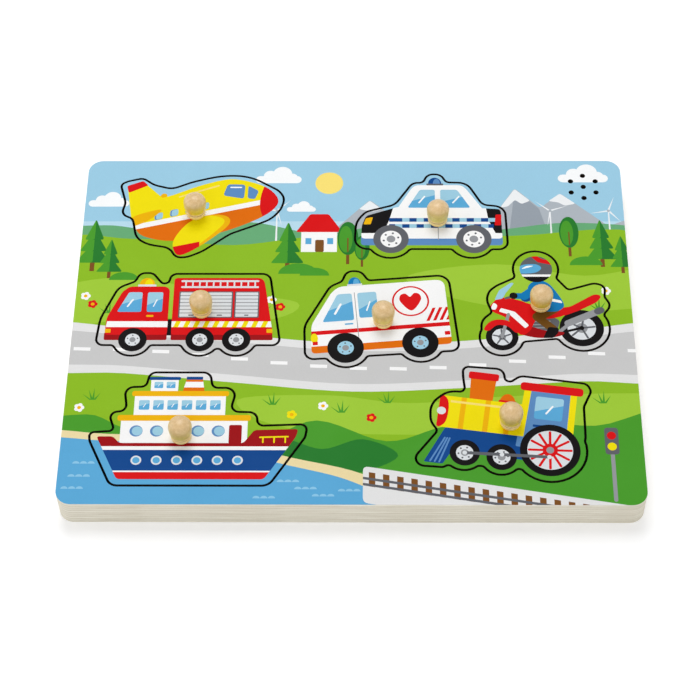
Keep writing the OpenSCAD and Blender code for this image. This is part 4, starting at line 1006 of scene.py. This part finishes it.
@dataclass(frozen=True)
class TurnedWood(Finish):
    """A turned knob's lacquered wood, with a painted highlight from its ring down and painted shade in its
    groove.

    The heights are in millimetres. The groove's is that of its middle above the floor, and the others
    are counted from there.
    """

    colour: tuple[float, float, float] = (224, 192, 140)
    rough: float = 0.4
    coat: float = 1.0
    coat_rough: float = 0.38
    groove: float = BOARD.z / MM + 3.3
    warmth: tuple[float, float, float] = (256, 270, 151)
    warm_below: float = 10.4
    warmest: float = 3.0
    # Painted highlight colour for the ring and the foot
    bead_highlight_colour: tuple[float, float, float] = (244, 212, 150)
    # Painted shade colour for the groove between head and foot
    groove_shade_colour: tuple[float, float, float] = (112, 72, 34)

    def pattern(self, graph: Graph, place: Link) -> tuple[Link, Link, Link, float]:
        """Draws the grain up the knob and its rings over the head, as Finish.pattern says."""
        turned = graph.add("Mapping", {"Vector": place, "Rotation": (0.35, 1.25, 0.5)}).outputs[0]
        dark = shaded(self.colour, (0.9, 0.85, 0.74))
        wood = Shared.GRAIN.place(graph, {"Vector": turned, "Pitch": 3.1, "Bend": 22.0, "Figure": 0.6,
                                          "Light": linear(self.colour), "Dark": dark}).outputs
        hand = Shared.HANDLING.place(graph, {"Vector": place, "Grit": 1.2}).outputs
        blotch = graph.ramp(graph.noise(place, 0.42, 4.0, 0.65, 1.2), 0.4, 0.62)
        worn = shaded(self.colour, (0.9, 0.86, 0.76))
        colour = graph.mix(graph.math("MULTIPLY", blotch, 0.75), wood["Color"], worn)
        above = graph.math("SUBTRACT", graph.height(place), self.groove)
        warm = graph.mix(1.0, colour, linear(self.warmth), "MULTIPLY")
        colour = graph.mix(graph.ramp(above, self.warm_below, self.warmest), colour, warm)
        # Painted highlight: from the ring down the knob is painted lighter, as if the ring and foot caught
        # more light
        ring = graph.ramp(above, 1.75, 1.4, 0.0, 0.65)
        colour = graph.mix(ring, colour, linear(self.bead_highlight_colour))
        # Painted shade: the groove and the foot's top near it are darkened where shade falls between head and
        # foot
        groove_shade = graph.ramp(graph.math("ABSOLUTE", above), 0.8, 0.55, 0.0, 0.42)
        colour = graph.mix(groove_shade, colour, linear(self.groove_shade_colour))
        rough = graph.math("MULTIPLY_ADD", hand["Smudge"], 0.14, self.rough)
        return colour, rough, wood["Height"], 0.02


@dataclass(frozen=True)
class Moulded(Finish):
    """Moulded plastic with a fine spark texture."""

    rough: float = 0.48
    grit: float = 3.2
    depth: float = 0.035

    def pattern(self, graph: Graph, place: Link) -> tuple[Link, Link, Link, float]:
        """Draws the texture and slight wear, as Finish.pattern says."""
        hand = Shared.HANDLING.place(graph, {"Vector": place, "Grit": self.grit}).outputs
        pale = linear(tuple(c + 0.06 * (255 - c) for c in self.colour))
        colour = graph.mix(hand["Smudge"], linear(self.colour), pale)
        rough = graph.math("MULTIPLY_ADD", hand["Fine"], 0.16, self.rough)
        return colour, rough, hand["Fine"], self.depth


@dataclass(frozen=True)
class Metal(Finish):
    """Plated or drawn metal with fine marks along one way.

    Where the recess shade's height is given, in millimetres above the floor, the metal is painted much
    darker from there up: painted shade in the cross of a screw that is turned from below.
    """

    rough: float = 0.28
    metal: float = 1.0
    marks: tuple[float, float, float] = (0.4, 6.0, 6.0)
    recess_shade_above: float | None = None

    def pattern(self, graph: Graph, place: Link) -> tuple[Link, Link, Link, float]:
        """Draws the marks and dull patches, as Finish.pattern says."""
        lines = graph.noise(graph.stretch(place, *self.marks), 1.0, 4.0, 0.6)
        dull = graph.ramp(graph.noise(place, 0.35, 3.0), 0.4, 0.75)
        grey = shaded(self.colour, (0.82, 0.82, 0.82))
        colour = graph.mix(graph.math("MULTIPLY", dull, 0.6), linear(self.colour), grey)
        # Painted shade in the screw's cross recess: much darker from the given height up
        if self.recess_shade_above is not None:
            recess_shade = graph.ramp(graph.height(place), self.recess_shade_above, self.recess_shade_above + 0.3)
            colour = graph.mix(recess_shade, colour, shaded(self.colour, (0.3, 0.3, 0.3)))
        patches = graph.math("MULTIPLY_ADD", dull, 0.16, self.rough - 0.08)
        rough = graph.math("MULTIPLY_ADD", lines, 0.2, patches)
        return colour, rough, lines, 0.01


@dataclass(frozen=True)
class Laminate(Finish):
    """A green circuit board with copper tracks under its lacquer."""

    colour: tuple[float, float, float] = (24, 92, 52)
    rough: float = 0.3
    coat: float = 0.4

    def pattern(self, graph: Graph, place: Link) -> tuple[Link, Link, Link, float]:
        """Draws the tracks and the weave under the lacquer, as Finish.pattern says."""
        gaps = graph.add("TexBrick", {"Vector": place, "Scale": 0.32, "Mortar Size": 0.07,
                                      "Mortar Smooth": 0.1, "Bias": 0.0, "Brick Width": 1.6,
                                      "Row Height": 0.8}).outputs["Fac"]
        tracks = graph.math("SUBTRACT", 1.0, gaps)
        weave = graph.noise(graph.stretch(place, 4.0, 4.0, 1.0), 1.0, 2.0)
        colour = graph.mix(tracks, linear(self.colour), shaded(self.colour, (1.35, 1.35, 1.35)))
        rough = graph.math("MULTIPLY_ADD", weave, 0.14, self.rough)
        return colour, rough, tracks, 0.03


@dataclass(frozen=True)
class Jacket(Finish):
    """A battery's shrunk jacket, whose colours are in the mesh's ink colours."""

    rough: float = 0.3
    coat: float = 0.3

    def pattern(self, graph: Graph, place: Link) -> tuple[Link, Link, Link, float]:
        """Draws the ink colours with scuffs, as Finish.pattern says."""
        ink = graph.add("Attribute", attribute_name="ink").outputs["Color"]
        hand = Shared.HANDLING.place(graph, {"Vector": place, "Grit": 2.0}).outputs
        colour = graph.mix(graph.math("MULTIPLY", hand["Smudge"], 0.18), ink, (0.6, 0.6, 0.6, 1))
        rough = graph.math("MULTIPLY_ADD", hand["Fine"], 0.16, self.rough)
        return colour, rough, hand["Fine"], 0.008


WIRES = {"sensor": (150, 34, 34), "speaker": (196, 176, 60), "battery": (40, 40, 42)}
FINISHES: dict[str, Finish] = {
    "landscape_print": Printed("landscape_print"),
    "recess_print": Printed("recess_print", rough=0.5),
    **{piece + "_print": Printed(piece + "_print") for piece in PIECES},
    "plywood": Plywood("top_plywood", low=TOP_BOARD_LOW, ply=1.1, burnt=True),
    "core_plywood": Plywood("core_plywood", low=CORE_BOARD_LOW),
    "back_plywood": Plywood("back_plywood"),
    "piece_plywood": Plywood("piece_plywood", low=TOP_BOARD_LOW, ply=1.4, all_burnt=True),
    "knob_wood": TurnedWood("knob_wood"),
    "speaker_steel": Metal("speaker_steel", (150, 152, 154), rough=0.4),
    "magnet": Finish("magnet", (62, 62, 66), rough=0.6),
    "cone_paper": Moulded("cone_paper", (38, 37, 36), rough=0.8, grit=1.6, depth=0.06),
    "circuit_laminate": Laminate("circuit_laminate"),
    "chip_resin": Moulded("chip_resin", (18, 18, 20), rough=0.22, grit=0.8, depth=0.02),
    "solder": Metal("solder", (188, 188, 184), rough=0.34, marks=(2.0, 2.0, 2.0)),
    "sensor_lens": Moulded("sensor_lens", (120, 62, 40), rough=0.15, grit=0.6, depth=0.01),
    **{wire + "_wire_insulation": Moulded(wire + "_wire_insulation", colour, rough=0.34, grit=1.0, depth=0.01)
       for wire, colour in WIRES.items()},
    "tray_plastic": Moulded("tray_plastic", (38, 38, 41)),
    "door_plastic": Moulded("door_plastic", (42, 42, 45)),
    # The zinc screws get painted shade in their cross recesses from 0.35 mm up
    "zinc_steel": Metal("zinc_steel", (188, 188, 183), rough=0.34, marks=(3.0, 3.0, 0.6), recess_shade_above=0.35),
    "nickel_plate": Metal("nickel_plate", (214, 208, 192), rough=0.24, marks=(3.0, 0.5, 3.0)),
    "battery_jacket": Jacket("battery_jacket"),
}


def shown(name: str, bm: bmesh.types.BMesh, body: str, slot: str, stands_for: str = "") -> bpy.types.Object:
    """Finishes a new piece: its object, its finish, the body that it rides on and the node that it replaces.

    Args:
        name: the piece's name.
        bm: its mesh, in the place where it belongs; it is freed here.
        body: the body that it moves with.
        slot: the material slot that gives its finish.
        stands_for: the construction node that it replaces, if any.

    Returns:
        The new object, at the origin.
    """
    mesh = bpy.data.meshes.new(name)
    bm.to_mesh(mesh)
    bm.free()
    piece = bpy.data.objects.new(name, mesh)
    bpy.context.scene.collection.objects.link(piece)
    piece.data.materials.append(FINISHES[slot].make())
    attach(piece, body)
    if stands_for:
        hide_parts(stands_for)
    logging.info("piece %s: %d faces, on %s", name, len(mesh.polygons), body)
    return piece


def node_mesh(node: str) -> bmesh.types.BMesh:
    """Returns a merged copy of a construction node's mesh."""
    bm = bmesh.new()
    bm.from_mesh(frame["nodes"][node].data)
    bmesh.ops.remove_doubles(bm, verts=bm.verts, dist=WELD)
    return bm


def smooth(piece: bpy.types.Object, angle: float = 35.0) -> None:
    """Shades a piece smooth, with its edges sharp where they turn by more than the angle in degrees."""
    mesh = piece.data
    mesh.polygons.foreach_set("use_smooth", [True] * len(mesh.polygons))
    bm = bmesh.new()
    bm.from_mesh(mesh)
    for edge in bm.edges:
        edge.smooth = edge.is_manifold and edge.calc_face_angle(0.0) < math.radians(angle)
    bm.to_mesh(mesh)
    bm.free()


def area_of(loop: list[Point]) -> float:
    """Returns the signed area of a closed loop, positive where it runs anticlockwise."""
    return sum(x * ny - nx * y for (x, y), (nx, ny) in zip(loop, loop[1:] + loop[:1])) / 2


def face_loops(node: str) -> list[list[Point]]:
    """Finds the outlines of a sheet's upper face.

    Args:
        node: a construction node that is a flat sheet.

    Returns:
        Its closed outlines in millimetres, the outer one first, all anticlockwise.
    """
    bm = node_mesh(node)
    top = {f for f in bm.faces if f.normal.z > FLAT}
    following = {}
    for face in top:
        for corner in face.loops:
            if sum(f in top for f in corner.edge.link_faces) == 1:
                following[corner.vert] = corner.link_loop_next.vert
    loops = []
    while following:
        start = next(iter(following))
        loop, vert = [], start
        while vert in following:
            loop.append((vert.co.x / MM, vert.co.y / MM))
            vert = following.pop(vert)
        loops.append(loop if area_of(loop) > 0 else loop[::-1])
    bm.free()
    return sorted(loops, key=area_of, reverse=True)


@dataclass
class PrintedSheet:
    """A printed sheet: its outline is the node's, and its inks are face colours.

    A sheet that lies in the recesses is inked near black between the openings above it and the outlines
    of the pieces that cover it: painted shade at the bottom of the saw gaps, drawn as a printed border.
    The share fade makes its inks paler.
    """

    node: str
    body: str
    slot: str
    shapes: list[Shape]
    fade: float = 0.0
    openings: list[list[Point]] = field(default_factory=list)
    covered: list[list[Point]] = field(default_factory=list)

    def build(self) -> bpy.types.Object:
        """Builds the sheet as one closed mesh and puts it in the node's place.

        Returns:
            The printed sheet.
        """
        low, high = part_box(self.node)
        outlines = face_loops(self.node)
        drawn = [s for s in self.shapes if self.touches(s, low, high)]
        points: list[Vector] = []
        rings: list[list[int]] = []
        for loop in outlines + self.openings + self.covered + [s.loop for s in drawn]:
            start = len(points)
            points.extend(Vector(p) for p in (loop if area_of(loop) > 0 else loop[::-1]))
            rings.append(list(range(start, len(points))))
        places, _, triangles, _, _, sources = delaunay_2d_cdt(points, [], rings, INSIDE_ONLY, SNAP, True)
        middle = len(outlines) + len(self.openings)
        first = middle + len(self.covered)
        holes = set(range(1, len(outlines)))
        cuts = set(range(len(outlines), middle))
        covers = set(range(middle, first))
        number = {id(shape): first + i for i, shape in enumerate(drawn)}
        bm = bmesh.new()
        ink = bm.loops.layers.float_color.new("ink")
        corners = [bm.verts.new((p.x * MM, p.y * MM, high.z)) for p in places]
        for triangle, source in zip(triangles, sources):
            inside = set(source)
            if 0 not in inside or inside & holes:
                continue
            # Painted shade: the recess sheet is near black in the saw gaps, standing in for the shade down
            # the gaps
            if inside & cuts and not inside & covers:
                colour = linear(Ink.LINE.value)
            else:
                colour = self.tone(self.top_ink(inside, drawn, first, number))
            face = bm.faces.new([corners[i] for i in triangle])
            for corner in face.loops:
                corner[ink] = colour
        bmesh.ops.delete(bm, geom=[v for v in bm.verts if not v.link_faces], context="VERTS")
        made = bmesh.ops.extrude_face_region(bm, geom=bm.faces[:], use_keep_orig=True)["geom"]
        bmesh.ops.translate(bm, verts=[g for g in made if isinstance(g, bmesh.types.BMVert)],
                            vec=(0, 0, low.z - high.z))
        bmesh.ops.recalc_face_normals(bm, faces=bm.faces)
        self.ink_walls(bm, ink)
        return shown(self.node + "_sheet", bm, self.body, self.slot, self.node)

    @staticmethod
    def touches(shape: Shape, low: Vector, high: Vector) -> bool:
        """Says whether a shape's box meets the sheet's box."""
        xs, ys = [p[0] * MM for p in shape.loop], [p[1] * MM for p in shape.loop]
        return max(xs) > low.x and min(xs) < high.x and max(ys) > low.y and min(ys) < high.y

    @staticmethod
    def top_ink(inside: set[int], drawn: list[Shape], first: int, number: dict[int, int]) -> Ink:
        """Finds the ink that lies on top at one spot.

        Args:
            inside: the numbers of all the shapes that cover the spot.
            drawn: the shapes, the last one on top.
            first: the number of the first shape.
            number: each shape's number, by its identity.

        Returns:
            The uppermost ink whose shape isn't cut away there.
        """
        for index in sorted(inside, reverse=True):
            if index < first:
                break
            shape, cut = drawn[index - first], drawn[index - first].within
            while cut is not None and number.get(id(cut)) in inside:
                cut = cut.within
            if cut is None:
                return shape.ink
        return Ink.WHITE

    def tone(self, ink: Ink) -> tuple[float, float, float, float]:
        """Returns an ink's linear colour, faded towards paper white where the sheet is pale."""
        return linear(c + self.fade * (PAPER_WHITE - c) for c in ink.value)

    @staticmethod
    def ink_walls(bm: bmesh.types.BMesh, ink: bmesh.types.BMLayerItem) -> None:
        """Gives the sheet's thin sides their colour: paper on the outer rim, scorched in the saw cuts."""
        inner = BOARD / 2 - Vector((CORNER, CORNER, 0))
        for face in bm.faces:
            if abs(face.normal.z) < FLAT:
                middle = face.calc_center_median()
                past = math.hypot(*(max(abs(middle[i]) - inner[i], 0) for i in (0, 1)))
                colour = linear(PAPER if past > CORNER - RIM_DEPTH else Ink.LINE.value)
                for corner in face.loops:
                    corner[ink] = colour


def lathe(profile: list[Point], centre: Vector, axis: Vector, steps: int) -> bmesh.types.BMesh:
    """Spins a profile round an axis.

    Args:
        profile: distance from the axis and height along it, from end to end, both ends on the axis.
        centre: where the axis starts.
        axis: the axis's direction.
        steps: the number of faces round.

    Returns:
        The closed mesh.
    """
    side = axis.orthogonal().normalized()
    bm = bmesh.new()
    verts = [bm.verts.new(centre + side * r + axis * h) for r, h in profile]
    for a, b in zip(verts, verts[1:]):
        bm.edges.new((a, b))
    bmesh.ops.spin(bm, geom=bm.verts[:] + bm.edges[:], cent=centre, axis=axis, dvec=(0, 0, 0),
                   angle=2 * math.pi, steps=steps, use_merge=True, use_duplicate=False)
    bmesh.ops.remove_doubles(bm, verts=bm.verts, dist=WELD)
    bmesh.ops.recalc_face_normals(bm, faces=bm.faces)
    return bm


@dataclass
class Knob:
    """A turned wooden knob, glued into its piece: a foot, a groove, a thin ring and an egg-shaped head."""

    piece: str
    height: float = 14.7 * MM
    head: float = 12.3 * MM
    foot: float = 10.8 * MM
    foot_height: float = 3.2 * MM
    foot_round: float = 1.3 * MM
    neck: float = 9.8 * MM
    groove: float = 0.8 * MM
    ring: float = 11.3 * MM
    ring_height: float = 0.9 * MM
    throat: float = 10.8 * MM
    pin: float = 5.9 * MM
    pin_length: float = 4.2 * MM
    steps: int = 56

    def profile(self) -> list[Point]:
        """Works out half of the knob's outline, from the pin's end to the top of the head.

        Returns:
            Distances from the axis and heights above the printed face.
        """
        low = self.foot_height + self.groove + self.ring_height
        middle = low + (self.height - low) * 0.5
        half, bead, throat = self.foot_height / 2, self.ring_height / 2, self.throat / 2
        line: list[Point] = [(0, -self.pin_length), (self.pin / 2, -self.pin_length), (self.pin / 2, 0)]
        line += arc(self.foot / 2 - self.foot_round, half, self.foot_round, half, range(-90, 91, 15))
        line += [(self.neck / 2, self.foot_height + self.groove * share) for share in (0.15, 0.85)]
        line += arc(self.ring / 2 - bead, low - bead, bead, bead, range(-90, 61, 30))
        line += arc(throat, middle, self.head / 2 - throat, middle - low, range(-78, 1, 6))
        line += arc(0, middle, self.head / 2, self.height - middle, range(6, 90, 6))
        return line + [(0, self.height)]

    def build(self) -> bpy.types.Object:
        """Builds the knob in its node's place and returns it."""
        node = self.piece + "_knob"
        low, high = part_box(node)
        foot = Vector(((low.x + high.x) / 2, (low.y + high.y) / 2, high.z - self.height))
        bm = lathe(self.profile(), foot, Vector((0, 0, 1)), self.steps)
        knob = shown(self.piece + "_turned_knob", bm, self.piece, "knob_wood", node)
        smooth(knob, 40)
        return knob


@dataclass
class EasedPart:
    """A rigid part made from its node's own shape, with the edges that turn sharply eased a little."""

    node: str
    body: str
    slot: str
    ease: float
    steps: int = 2
    flat_below: float = math.radians(1)
    sharp_above: float = math.radians(40)

    def build(self) -> bpy.types.Object:
        """Builds the part with eased edges and returns it."""
        bm = node_mesh(self.node)
        bmesh.ops.dissolve_limit(bm, angle_limit=self.flat_below, verts=bm.verts, edges=bm.edges)
        edges = [e for e in bm.edges if e.is_manifold and e.calc_face_angle(0.0) > self.sharp_above]
        bmesh.ops.bevel(bm, geom=edges, offset=self.ease, offset_type="OFFSET", segments=self.steps,
                        profile=0.5, affect="EDGES", clamp_overlap=True, material=-1)
        bmesh.ops.recalc_face_normals(bm, faces=bm.faces)
        part = shown(self.node + "_eased", bm, self.body, self.slot, self.node)
        smooth(part, 20)
        return part


@dataclass
class Puzzle:
    """The printed board and the seven pieces: their printed sheets and knobs."""

    leans: dict[str, float] = field(default_factory=lambda: {"ambulance": 5.1, "locomotive": -8.0})

    def build(self) -> None:
        """Builds the sheets and the knobs."""
        scenery = self.scenery()
        vehicles = {piece: self.vehicle(piece) for piece in PIECES}
        PrintedSheet("board_print", "root", "landscape_print", scenery).build()
        everything = scenery + [shape for shapes in vehicles.values() for shape in shapes]
        openings = face_loops("board_print")[1:1 + len(PIECES)]
        covered = [face_loops(piece + "_print")[0] for piece in PIECES]
        PrintedSheet("recess_sheet", "root", "recess_print", everything, 0.5, openings, covered).build()
        for piece in PIECES:
            PrintedSheet(piece + "_print", piece, piece + "_print", scenery + vehicles[piece]).build()
            Knob(piece).build()

    @staticmethod
    def scenery() -> list[Shape]:
        """Draws the landscape over the whole board and returns its shapes."""
        half = BOARD / 2 / MM
        pen = Pen((-half.x, -half.y), (half.x, half.y))
        draw_landscape(pen)
        return pen.shapes

    def vehicle(self, piece: str) -> list[Shape]:
        """Draws one vehicle over its piece and returns its shapes."""
        artists = {"plane": draw_plane, "fire_engine": draw_fire_engine, "ship": draw_ship,
                   "police_car": draw_police_car, "ambulance": draw_ambulance, "motorbike": draw_motorbike,
                   "locomotive": draw_locomotive}
        low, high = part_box(piece + "_print")
        pen = Pen((low.x / MM, low.y / MM), (high.x / MM, high.y / MM), self.leans.get(piece, 0.0))
        artists[piece](pen)
        return pen.shapes


@dataclass
class Battery:
    """A battery: a rounded can with a jacket, a bright band and bare ends.

    The nub's end points along Y, towards 1 or -1. The band starts at a share of the length, and the
    ends are bare inside of a rim.
    """

    centre: Vector
    nub_towards: int
    length: float
    width: float
    nub: float = 3.8 * MM
    nub_height: float = 1.0 * MM
    rim: float = 0.7 * MM
    band_from: float = 0.7
    steps: int = 40
    bare: tuple[float, float, float] = (196, 194, 186)
    band: tuple[float, float, float] = (206, 168, 70)
    jacket: tuple[float, float, float] = (34, 52, 88)

    def profile(self) -> list[Point]:
        """Works out half of the can's outline, from the flat end to the nub's.

        Returns:
            Distances from the axis and along it.
        """
        r, tip, nub = self.width / 2 / MM, self.length / MM, self.nub / 2 / MM
        body = (self.length - self.nub_height) / MM
        line = [(0, 0), (r - 1.2, 0), (r - 0.5, 0.15), (r - 0.14, 0.3), (r, 0.65)]
        line += [(r, body * share) for share in (0.1, 0.3, 0.5, 0.7, 0.74, 0.9)]
        line += [(r, body - 0.6), (r - 0.14, body - 0.3), (r - 0.5, body), (r - 1.6, body)]
        line += [(r - 1.8, body - 0.15), (nub, body - 0.15), (nub, tip - 0.3), (nub - 0.3, tip), (0, tip)]
        return [(out * MM, along * MM) for out, along in line]

    def build(self) -> bmesh.types.BMesh:
        """Builds the battery and returns its mesh, with its colours."""
        axis = Vector((0, self.nub_towards, 0))
        bm = lathe(self.profile(), self.centre - axis * self.length / 2, axis, self.steps)
        ink = bm.loops.layers.float_color.new("ink")
        for face in bm.faces:
            middle = face.calc_center_median() - self.centre
            along = middle.y * self.nub_towards / self.length + 0.5
            if math.hypot(middle.x, middle.z) < self.width / 2 - self.rim:
                colour = self.bare
            else:
                colour = self.band if along > self.band_from else self.jacket
            for corner in face.loops:
                corner[ink] = linear(colour)
        return bm


@dataclass
class BatteryBay:
    """The battery tray, its door, their screws and the two batteries."""

    eased: tuple[EasedPart, ...] = (
        EasedPart("battery_tray", "root", "tray_plastic", 0.3 * MM),
        EasedPart("tray_screws", "root", "zinc_steel", 0.12 * MM),
        EasedPart("battery_door", "battery_door", "door_plastic", 0.3 * MM),
        EasedPart("battery_door_screw", "door_screw", "zinc_steel", 0.12 * MM),
        EasedPart("battery_contacts", "root", "nickel_plate", 0.08 * MM, 1),
    )

    def build(self) -> None:
        """Builds the eased parts and the batteries."""
        for part in self.eased:
            part.build()
        low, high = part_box("batteries")
        radius = (high.z - low.z) / 2
        both = bmesh.new()
        for side, nub in ((-1, 1), (1, -1)):
            x = low.x + radius if side < 0 else high.x - radius
            ends = self.span(side, low, high)
            centre = Vector((x, (ends[0] + ends[1]) / 2, (low.z + high.z) / 2))
            one = Battery(centre, nub, ends[1] - ends[0], 2 * radius).build()
            mesh = bpy.data.meshes.new("battery_part")
            one.to_mesh(mesh)
            one.free()
            both.from_mesh(mesh)
            bpy.data.meshes.remove(mesh)
        cells = shown("battery_pair", both, "root", "battery_jacket", "batteries")
        smooth(cells)

    @staticmethod
    def span(side: int, low: Vector, high: Vector) -> tuple[float, float]:
        """Finds where one battery starts and ends along Y.

        Args:
            side: -1 for the left battery, 1 for the right one.
            low: lowest corner of both batteries.
            high: highest corner of both batteries.

        Returns:
            Its lowest and highest Y.
        """
        middle = (low.x + high.x) / 2
        ys = [v.co.y for v in frame["nodes"]["batteries"].data.vertices if (v.co.x - middle) * side > 0]
        return min(ys), max(ys)


@dataclass
class Dressing:
    """Puts each remaining construction node's finish on it."""

    slots: dict[str, str] = field(default_factory=lambda: {
        part["node"]: part["material_slot"] for part in frame["record"]["subparts"]})

    def build(self) -> None:
        """Dresses every node that is still shown."""
        for node, piece in frame["nodes"].items():
            if not piece.hide_render:
                piece.data.materials.clear()
                piece.data.materials.append(FINISHES[self.slots[node]].make())
                logging.info("node %s: finish %s", node, self.slots[node])


@dataclass(frozen=True)
class Lamp:
    """A square soft lamp that faces the board's middle. Its power is in watts."""

    name: str
    place: tuple[float, float, float]
    size: float
    power: float

    def build(self) -> None:
        """Adds the lamp."""
        data = bpy.data.lights.new(self.name, "AREA")
        data.size, data.energy = self.size, self.power
        lamp = bpy.data.objects.new(self.name, data)
        lamp.location = self.place
        lamp.rotation_euler = Vector(self.place).to_track_quat("Z", "Y").to_euler()
        bpy.context.scene.collection.objects.link(lamp)


@dataclass
class Studio:
    """A pale floor, soft light from all sides, and the camera at the photograph's place.

    The angles are in degrees, and focal and frame_width in pixels. The floor's outline is the board's,
    drawn in to floor_opening and spread out by floor_spread. It glows by floor_glow near the board, and
    as white as the background from white_by on.
    """

    elevation: float = 55.35
    yaw: float = 1.34
    roll: float = -1.05
    distance: float = 1.1076
    focal: float = 2046.4
    frame_width: float = 700.0
    target: Vector = field(default_factory=lambda: Vector((-1.52, -5.26, 0.0)) * MM)
    floor_spread: tuple[float, float, float] = (40.0, 53.0, 1.0)
    floor_opening: tuple[float, float, float] = (0.9995, 0.9995, 1.0)
    floor_colour: tuple[float, float, float, float] = (0.88, 0.882, 0.89, 1.0)
    floor_glow: float = 0.255
    glow_to: float = 0.4
    white_by: float = 1.2
    side_light: float = 1.6
    sky_light: float = 0.17
    lamps: tuple[Lamp, ...] = (
        Lamp("key_light", (-0.1, 0.7, 1.5), 0.9, 12.5),
        Lamp("fill_light", (-0.25, -1.15, 1.2), 1.2, 4.8),
        Lamp("left_light", (-1.3, 0.1, 0.5), 0.8, 2.8),
        Lamp("right_light", (1.3, 0.1, 0.5), 0.8, 1.6),
        Lamp("under_light", (0.0, 0.0, -1.6), 0.8, 14.5),
    )

    def build(self) -> None:
        """Sets up camera, floor, world and lamps."""
        self.camera()
        self.floor()
        self.world()
        for lamp in self.lamps:
            lamp.build()
        bpy.context.scene.view_settings.view_transform = "Standard"

    def camera(self) -> None:
        """Places the camera by its angles round the target."""
        e, y, r = (math.radians(a) for a in (self.elevation, self.yaw, self.roll))
        back = Vector((math.sin(y) * math.cos(e), -math.cos(y) * math.cos(e), math.sin(e)))
        right = Vector((math.cos(y), math.sin(y), 0))
        up = back.cross(right)
        across = math.cos(r) * right + math.sin(r) * up
        upward = math.cos(r) * up - math.sin(r) * right
        data = bpy.data.cameras.new("camera")
        data.sensor_width = 36.0
        data.lens = self.focal * data.sensor_width / self.frame_width
        data.clip_start, data.clip_end = 0.01, 50.0
        camera = bpy.data.objects.new("camera", data)
        turn = Matrix((across, upward, back)).transposed().to_4x4()
        camera.matrix_world = Matrix.Translation(self.target + back * self.distance) @ turn
        bpy.context.scene.collection.objects.link(camera)
        bpy.context.scene.camera = camera

    @staticmethod
    def seen(graph: Graph) -> Link:
        """Returns 1 for a ray from the camera, or one that a shiny or clear surface sends on."""
        rays = graph.add("LightPath").outputs
        first = graph.math("MAXIMUM", rays["Is Camera Ray"], rays["Is Glossy Ray"])
        return graph.math("MAXIMUM", first, rays["Is Transmission Ray"])

    def floor(self) -> None:
        """Builds the pale floor, which is open under the board so that light reaches the board's back."""
        bm = bmesh.new()
        rim = [bm.verts.new((x * MM, y * MM, 0)) for x, y in face_loops("board_print")[0]]
        edges = [bm.edges.new(ends) for ends in zip(rim, rim[1:] + rim[:1])]
        outer = bmesh.ops.extrude_edge_only(bm, edges=edges)["geom"]
        outer = [g for g in outer if isinstance(g, bmesh.types.BMVert)]
        bmesh.ops.scale(bm, vec=self.floor_spread, verts=outer)
        bmesh.ops.scale(bm, vec=self.floor_opening, verts=rim)
        bm.normal_update()
        bmesh.ops.reverse_faces(bm, faces=[f for f in bm.faces if f.normal.z < 0])
        mesh = bpy.data.meshes.new("floor")
        bm.to_mesh(mesh)
        bm.free()
        floor = bpy.data.objects.new("floor", mesh)
        bpy.context.scene.collection.objects.link(floor)
        material = bpy.data.materials.new("floor_white")
        material.use_nodes = True
        graph = Graph(material.node_tree)
        material.node_tree.nodes.clear()
        away = graph.vector("LENGTH", graph.add("TexCoord").outputs["Object"]).outputs["Value"]
        glow = graph.ramp(away, self.glow_to, self.white_by, self.floor_glow, 1.0)
        strength = graph.math("MULTIPLY", self.seen(graph), glow)
        pale = graph.add("BsdfDiffuse", {"Color": self.floor_colour})
        shine = graph.add("Emission", {"Color": (1, 1, 1, 1), "Strength": strength})
        both = graph.add("AddShader", {0: pale.outputs[0], 1: shine.outputs[0]})
        below = graph.add("NewGeometry").outputs["Backfacing"]
        clear = graph.add("BsdfTransparent")
        either = graph.add("MixShader", {0: below, 1: both.outputs[0], 2: clear.outputs[0]})
        graph.put(graph.add("OutputMaterial").inputs["Surface"], either.outputs[0])
        mesh.materials.append(material)

    def world(self) -> None:
        """Lights the scene from all round, more from the sides than from above, on a white background."""
        world = bpy.data.worlds.new("studio")
        bpy.context.scene.world = world
        world.use_nodes = True
        graph = Graph(world.node_tree)
        back = world.node_tree.nodes["Background"]
        way = graph.height(graph.add("TexCoord").outputs["Generated"])
        low = graph.math("POWER", graph.math("SUBTRACT", 1.0, graph.math("ABSOLUTE", way)), 2.0)
        soft = graph.math("MULTIPLY_ADD", low, self.side_light, self.sky_light)
        seen = self.seen(graph)
        strength = graph.math("MULTIPLY_ADD", graph.math("SUBTRACT", 1.0, soft), seen, soft)
        graph.put(back.inputs["Color"], (1, 1, 1, 1))
        graph.put(back.inputs["Strength"], strength)


def main() -> None:
    """Builds the scene and writes how large it is."""
    logging.basicConfig(level=logging.INFO, format="%(message)s")
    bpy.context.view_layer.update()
    Studio().build()
    Puzzle().build()
    BatteryBay().build()
    Dressing().build()


if __name__ == "__main__":
    main()
